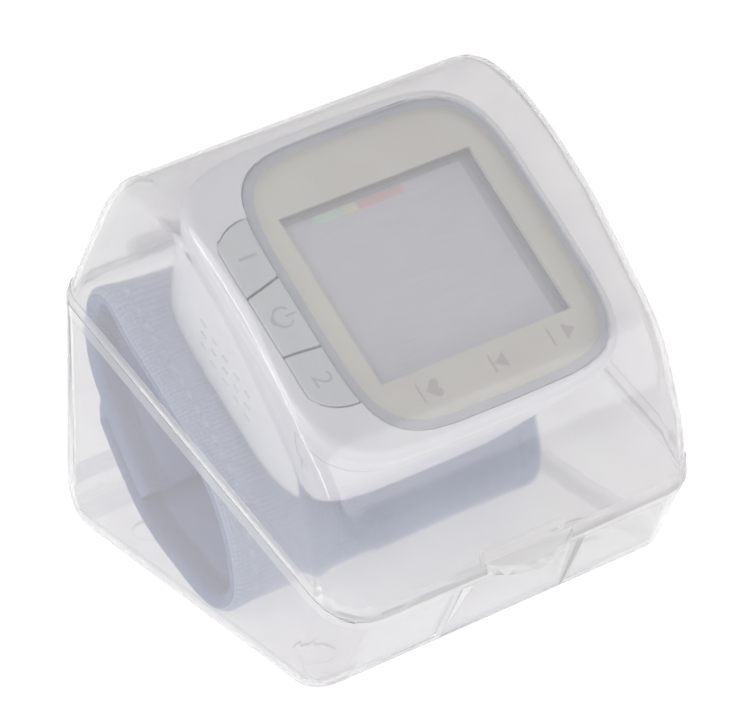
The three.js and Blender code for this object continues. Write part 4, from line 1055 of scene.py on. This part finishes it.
# %% The strip's section
EDGE_ROUND = 1.4
EDGE_FADE = 0.2
SEAM_INSET = 4.4
SEAM_DRAW = 0.38
SEAM_HALF = 0.8
PUCKER_PITCH = 3.1
PUCKER_HEIGHT = 0.06
PUCKER_HALF = 2.2
WAVE_SIZE = 16
WAVE_HEIGHT = 0.22
INNER_RIDGES = (12.0, 25.0, 38.0)
RIDGE_HEIGHT = 0.3
RIDGE_HALF = 1.1
RIDGE_SWAY = 2.0
RIDGE_TURNS = 5
INNER_LAYER = 3.0
OUTER_LAYER = 8.0
RIDGE_LAYER = 1.0
FLAP_CORNER = 7.0
FLAP_END = 1 + FLAP_LENGTH
START_DRAW = 1.8
START_SHARE = 0.04
SIDE_COUNT = 56


def strip_thick(t):
    """The strip's thickness, from the padded part to the thin loose end."""
    return CUFF_THICK + (FLAP_THICK - CUFF_THICK) * ease(t)


def strip_edges(t):
    """The strip's left and right edge, drawn in at the rounded corners of the loose end."""
    to_end = (FLAP_END - t) * loop_length
    short = max(FLAP_CORNER - to_end, 0)
    inset = FLAP_CORNER - math.sqrt(max(FLAP_CORNER**2 - short**2, 0))
    return CUFF_LEFT + inset, CUFF_RIGHT - inset


def relief(t, x, inner):
    """How far the cloth stands out of its plain form, in mm."""
    low, high = strip_edges(t)
    edge = min(x - low, high - x)
    along = t * loop_length
    seam = swell(edge - SEAM_INSET, SEAM_HALF)
    pucker = math.sin(along * 2 * math.pi / PUCKER_PITCH) * swell(edge - SEAM_INSET, PUCKER_HALF)
    layer = INNER_LAYER if inner else OUTER_LAYER
    wave = noise.noise(Vector((x / WAVE_SIZE, along / WAVE_SIZE, layer)))
    height = -SEAM_DRAW * seam + PUCKER_HEIGHT * pucker + WAVE_HEIGHT * wave
    if inner:
        for ridge in INNER_RIDGES:
            sway = RIDGE_SWAY * noise.noise(Vector((ridge, t * RIDGE_TURNS, RIDGE_LAYER)))
            height += RIDGE_HEIGHT * swell(x - CUFF_LEFT - ridge - sway, RIDGE_HALF)
    fade = min(max(edge / EDGE_ROUND - EDGE_FADE, 0), 1)
    return height * fade * min(strip_thick(t) / CUFF_THICK, 1)


def fullness(edge):
    """How full the strip is at a distance from its edge in mm: 0 at the edge, 1 past its rounding."""
    return math.sqrt(max(1 - max(1 - edge / EDGE_ROUND, 0) ** 2, 0))


def strip_section(t):
    """The section at a share of the way round, as (x, depth) points: out along the back, then inside."""
    low, high = strip_edges(t)
    thin = START_DRAW * max(1 - t / START_SHARE, 0) ** 2
    middle = strip_thick(t) / 2
    section = []
    for inner in (False, True):
        for k in range(SIDE_COUNT):
            share = (1 - math.cos(math.pi * k / SIDE_COUNT)) / 2
            x = high - (high - low) * share if inner else low + (high - low) * share
            edge = min(x - low, high - x)
            full = fullness(edge)
            depth = middle * full + relief(t, x, inner)
            section.append((x, middle - depth + thin * full if inner else middle + depth))
    return section


print("section points", len(strip_section(0.0)))

# %% [markdown]
# The strip starts as a flat grid, because a grid brings its UV map along. Its columns are then laid
# round the section, where the last meets the first, and its rows along the loop. Outside, the cloth is
# the brushed knit, and inside it is a smoother lining whose darker blue is painted shade for the inside
# of the loop, so each face is told apart by how far round the section it lies.

# %% The cuff's cloth
ROUND_COUNT = 260
CLOTH_SHARP = math.radians(60)
SHADED_LINING_FROM = 0.5
SHADED_LINING_TO = 1.0


def wrapped_strip(name, section, start, end, steps, body, finish):
    """A closed strip round the wrist: a grid with columns round a section and rows along the loop."""
    bpy.ops.object.select_all(action="DESELECT")
    count = len(section(start))
    bpy.ops.mesh.primitive_grid_add(x_subdivisions=count, y_subdivisions=steps, size=1, calc_uvs=True)
    piece = bpy.context.object
    piece.name = name
    shares = [start + (end - start) * j / steps for j in range(steps + 1)]
    rows = [[cuff_point(t, depth, x) for x, depth in section(t)] for t in shares]
    for vertex in piece.data.vertices:
        i = round((vertex.co.x + 0.5) * count) % count
        j = round((vertex.co.y + 0.5) * steps)
        vertex.co = rows[j][i]
    bpy.ops.object.mode_set(mode="EDIT")
    bpy.ops.mesh.select_all(action="SELECT")
    bpy.ops.mesh.remove_doubles(threshold=MERGE)
    bpy.ops.mesh.fill_holes(sides=0)
    bpy.ops.mesh.select_all(action="SELECT")
    bpy.ops.mesh.normals_make_consistent(inside=False)
    bpy.ops.object.mode_set(mode="OBJECT")
    put(piece, MONITOR)
    bpy.ops.object.shade_smooth_by_angle(angle=CLOTH_SHARP)
    piece.data.materials.append(finish)
    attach(piece, body)
    return piece


def line_and_shade_strip(piece, lining_and_shade, start, end):
    """Gives a second finish, a lining with its painted shade, to the faces of a strip between two shares of
    the way round its section.
    """
    piece.data.materials.append(lining_and_shade)
    around = piece.data.uv_layers.active.data
    for polygon in piece.data.polygons:
        share = sum(around[i].uv.x for i in polygon.loop_indices) / polygon.loop_total
        polygon.material_index = int(start <= share < end)


strip_width = CUFF_RIGHT - CUFF_LEFT
cuff_size = (2 * (strip_width + CUFF_THICK), loop_length * FLAP_END)
KNIT = woven_cloth("brushed_knit", "#7f8ca7", "#a3afc6", cuff_size, COURSE, nap=0.6)
# The lining is a smoother cloth with less sheen, and its darker blue is painted shade for the inside of the
# loop.
LINING_AND_SHADE = woven_cloth("nylon_lining_painted_shade", "#7080ae", "#8b99c3", cuff_size, COURSE, nap=0.6, sheen=0.1)
cuff = wrapped_strip(
    "cuff_cloth", strip_section, 0.0, FLAP_END, ROUND_COUNT, "case", KNIT
)
line_and_shade_strip(cuff, LINING_AND_SHADE, SHADED_LINING_FROM, SHADED_LINING_TO)
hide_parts("cuff_cover")
print("cuff faces", len(cuff.data.polygons))

# %% [markdown]
# A ribbed tape folds round both long edges of the strip and is sewn down by the same row of stitches.
# It is laid round the loop like the strip: its section follows the strip's own edge, a little proud of
# it outside and a little sunk into it inside.

# %% Edge tape
TAPE_WIDTH = 5.2
TAPE_PROUD = 0.22
TAPE_SUNK = 0.25
TAPE_COUNT = 14
TAPE_SHORT = 0.045
TAPE_END = FLAP_END - TAPE_SHORT
TAPE_RIB = 0.8
TAPE_RELIEF = 0.5
TAPE_SHADED = 0.27
TAPER = 0.6
TAPER_START = 0.85


def tape_section(side):
    """A function that gives the tape's section at one edge: -1 for the left, 1 for the right."""

    def skin(t, grow):
        low, high = strip_edges(t)
        middle = strip_thick(t) / 2
        points = []
        for k in range(-TAPE_COUNT, TAPE_COUNT + 1):
            edge = TAPE_WIDTH * (k / TAPE_COUNT) ** 2
            full = fullness(edge)
            x = low + edge if side < 0 else high - edge
            taper = 1 - TAPER * max(edge / TAPE_WIDTH - TAPER_START, 0) / (1 - TAPER_START)
            out = grow * taper if grow > 0 else grow
            depth = (middle + TAPE_RELIEF * relief(t, x, k < 0)) * full + out * full
            x += out * (1 - full) * side
            points.append((x, middle - depth if k < 0 else middle + depth))
        return points

    return lambda t: skin(t, TAPE_PROUD) + skin(t, -TAPE_SUNK)[::-1]


tape_size = (4 * TAPE_WIDTH, loop_length * FLAP_END)
TAPE_CLOTH = woven_cloth("ribbed_tape", "#7f8ca7", "#a3afc6", tape_size, TAPE_RIB, nap=0.5, sheen=0.2)
# The tape's inner side and edge are a darker blue, which is painted shade for the inside of the loop.
TAPE_INSIDE_SHADE = woven_cloth("tape_inside_painted_shade", "#5d6b92", "#7785aa", tape_size, TAPE_RIB, nap=0.5, sheen=0.1)
for side, name in ((-1, "left"), (1, "right")):
    section = tape_section(side)
    tape = wrapped_strip(
        f"cuff_tape_{name}", section, 0.0, TAPE_END, ROUND_COUNT, "case", TAPE_CLOTH
    )
    # The faces on the tape's inner side and edge get the painted shade.
    line_and_shade_strip(tape, TAPE_INSIDE_SHADE, 0.0, TAPE_SHADED)
    print(tape.name, "faces", len(tape.data.polygons))

# %% [markdown]
# Each stitch is a short piece of thread that lies on the tape. An array along a curve could repeat it,
# but the row has to follow the cloth's relief, so one stretched ball is copied to places that are
# worked out on the strip.

# %% Stitches
STITCH_LENGTH = 2.1
STITCH_PITCH = 3.0
STITCH_R = 0.24
LOOK_AHEAD = 0.002
THREAD = satin_grey_abs("sewing_thread", "#9fabc0", "#b3bdce")


def stitch_row(name, inset, side):
    """A row of stitches along one edge, on the outside of the strip: one stretched ball, copied."""
    bpy.ops.object.select_all(action="DESELECT")
    bpy.ops.mesh.primitive_uv_sphere_add(segments=8, ring_count=6, radius=STITCH_R * MM)
    piece = bpy.context.object
    piece.name = name
    bpy.ops.object.mode_set(mode="EDIT")
    bpy.ops.mesh.select_all(action="SELECT")
    bpy.ops.transform.resize(value=(1, 1, STITCH_LENGTH / STITCH_R / 2))
    bpy.ops.object.mode_set(mode="OBJECT")
    shape = [v.co.copy() for v in piece.data.vertices]
    faces = [tuple(p.vertices) for p in piece.data.polygons]
    points = []
    polygons = []
    count = int(TAPE_END * loop_length / STITCH_PITCH)
    for k in range(count):
        t = (k + 0.5) * STITCH_PITCH / loop_length
        low, high = strip_edges(t)
        x = low + inset if side < 0 else high - inset
        depth = strip_thick(t) + relief(t, x, False) * TAPE_RELIEF + TAPE_PROUD
        here = cuff_point(t, depth, x)
        along = cuff_point(t + LOOK_AHEAD, depth, x) - cuff_point(t - LOOK_AHEAD, depth, x)
        turn = along.normalized().to_track_quat("Z", "X").to_matrix()
        start = len(points)
        points += [here + turn @ v for v in shape]
        polygons += [tuple(start + i for i in face) for face in faces]
    piece.data.clear_geometry()
    piece.data.from_pydata(points, [], polygons)
    put(piece, MONITOR)
    bpy.ops.object.shade_smooth()
    piece.data.materials.append(THREAD)
    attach(piece, "case")
    print(name, count)


for side, name in ((-1, "left"), (1, "right")):
    stitch_row(f"cuff_stitches_{name}", SEAM_INSET, side)

# %% [markdown]
# The loose end is held by a flat hook tape between it and the start of the strip. It is hardly seen, so
# a plain section is enough, wrapped along a short piece of the same loop.

# %% Hook tape
HOOK_FROM = 0.02
HOOK_TO = 0.15
HOOK_INSET = 5.0
HOOK_LOW = CUFF_THICK + 0.35
HOOK_HIGH = CUFF_THICK + 0.85
HOOK_STEPS = 24
HOOK_PITCH = 1.2


def hook_section(_t):
    """The flat section of the hook tape under the loose end."""
    low, high = CUFF_LEFT + HOOK_INSET, CUFF_RIGHT - HOOK_INSET
    xs = [low + (high - low) * k / HOOK_STEPS for k in range(HOOK_STEPS + 1)]
    return [(x, HOOK_HIGH) for x in xs] + [(x, HOOK_LOW) for x in reversed(xs)]


hook_size = (2 * strip_width, loop_length * (HOOK_TO - HOOK_FROM))
HOOKS = woven_cloth("hook_tape", "#59637a", "#77839b", hook_size, HOOK_PITCH, nap=0.4, sheen=0.1)
hook = wrapped_strip(
    "hook_strip", hook_section, HOOK_FROM, HOOK_TO, HOOK_STEPS, "case", HOOKS
)
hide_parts("hook_tape")
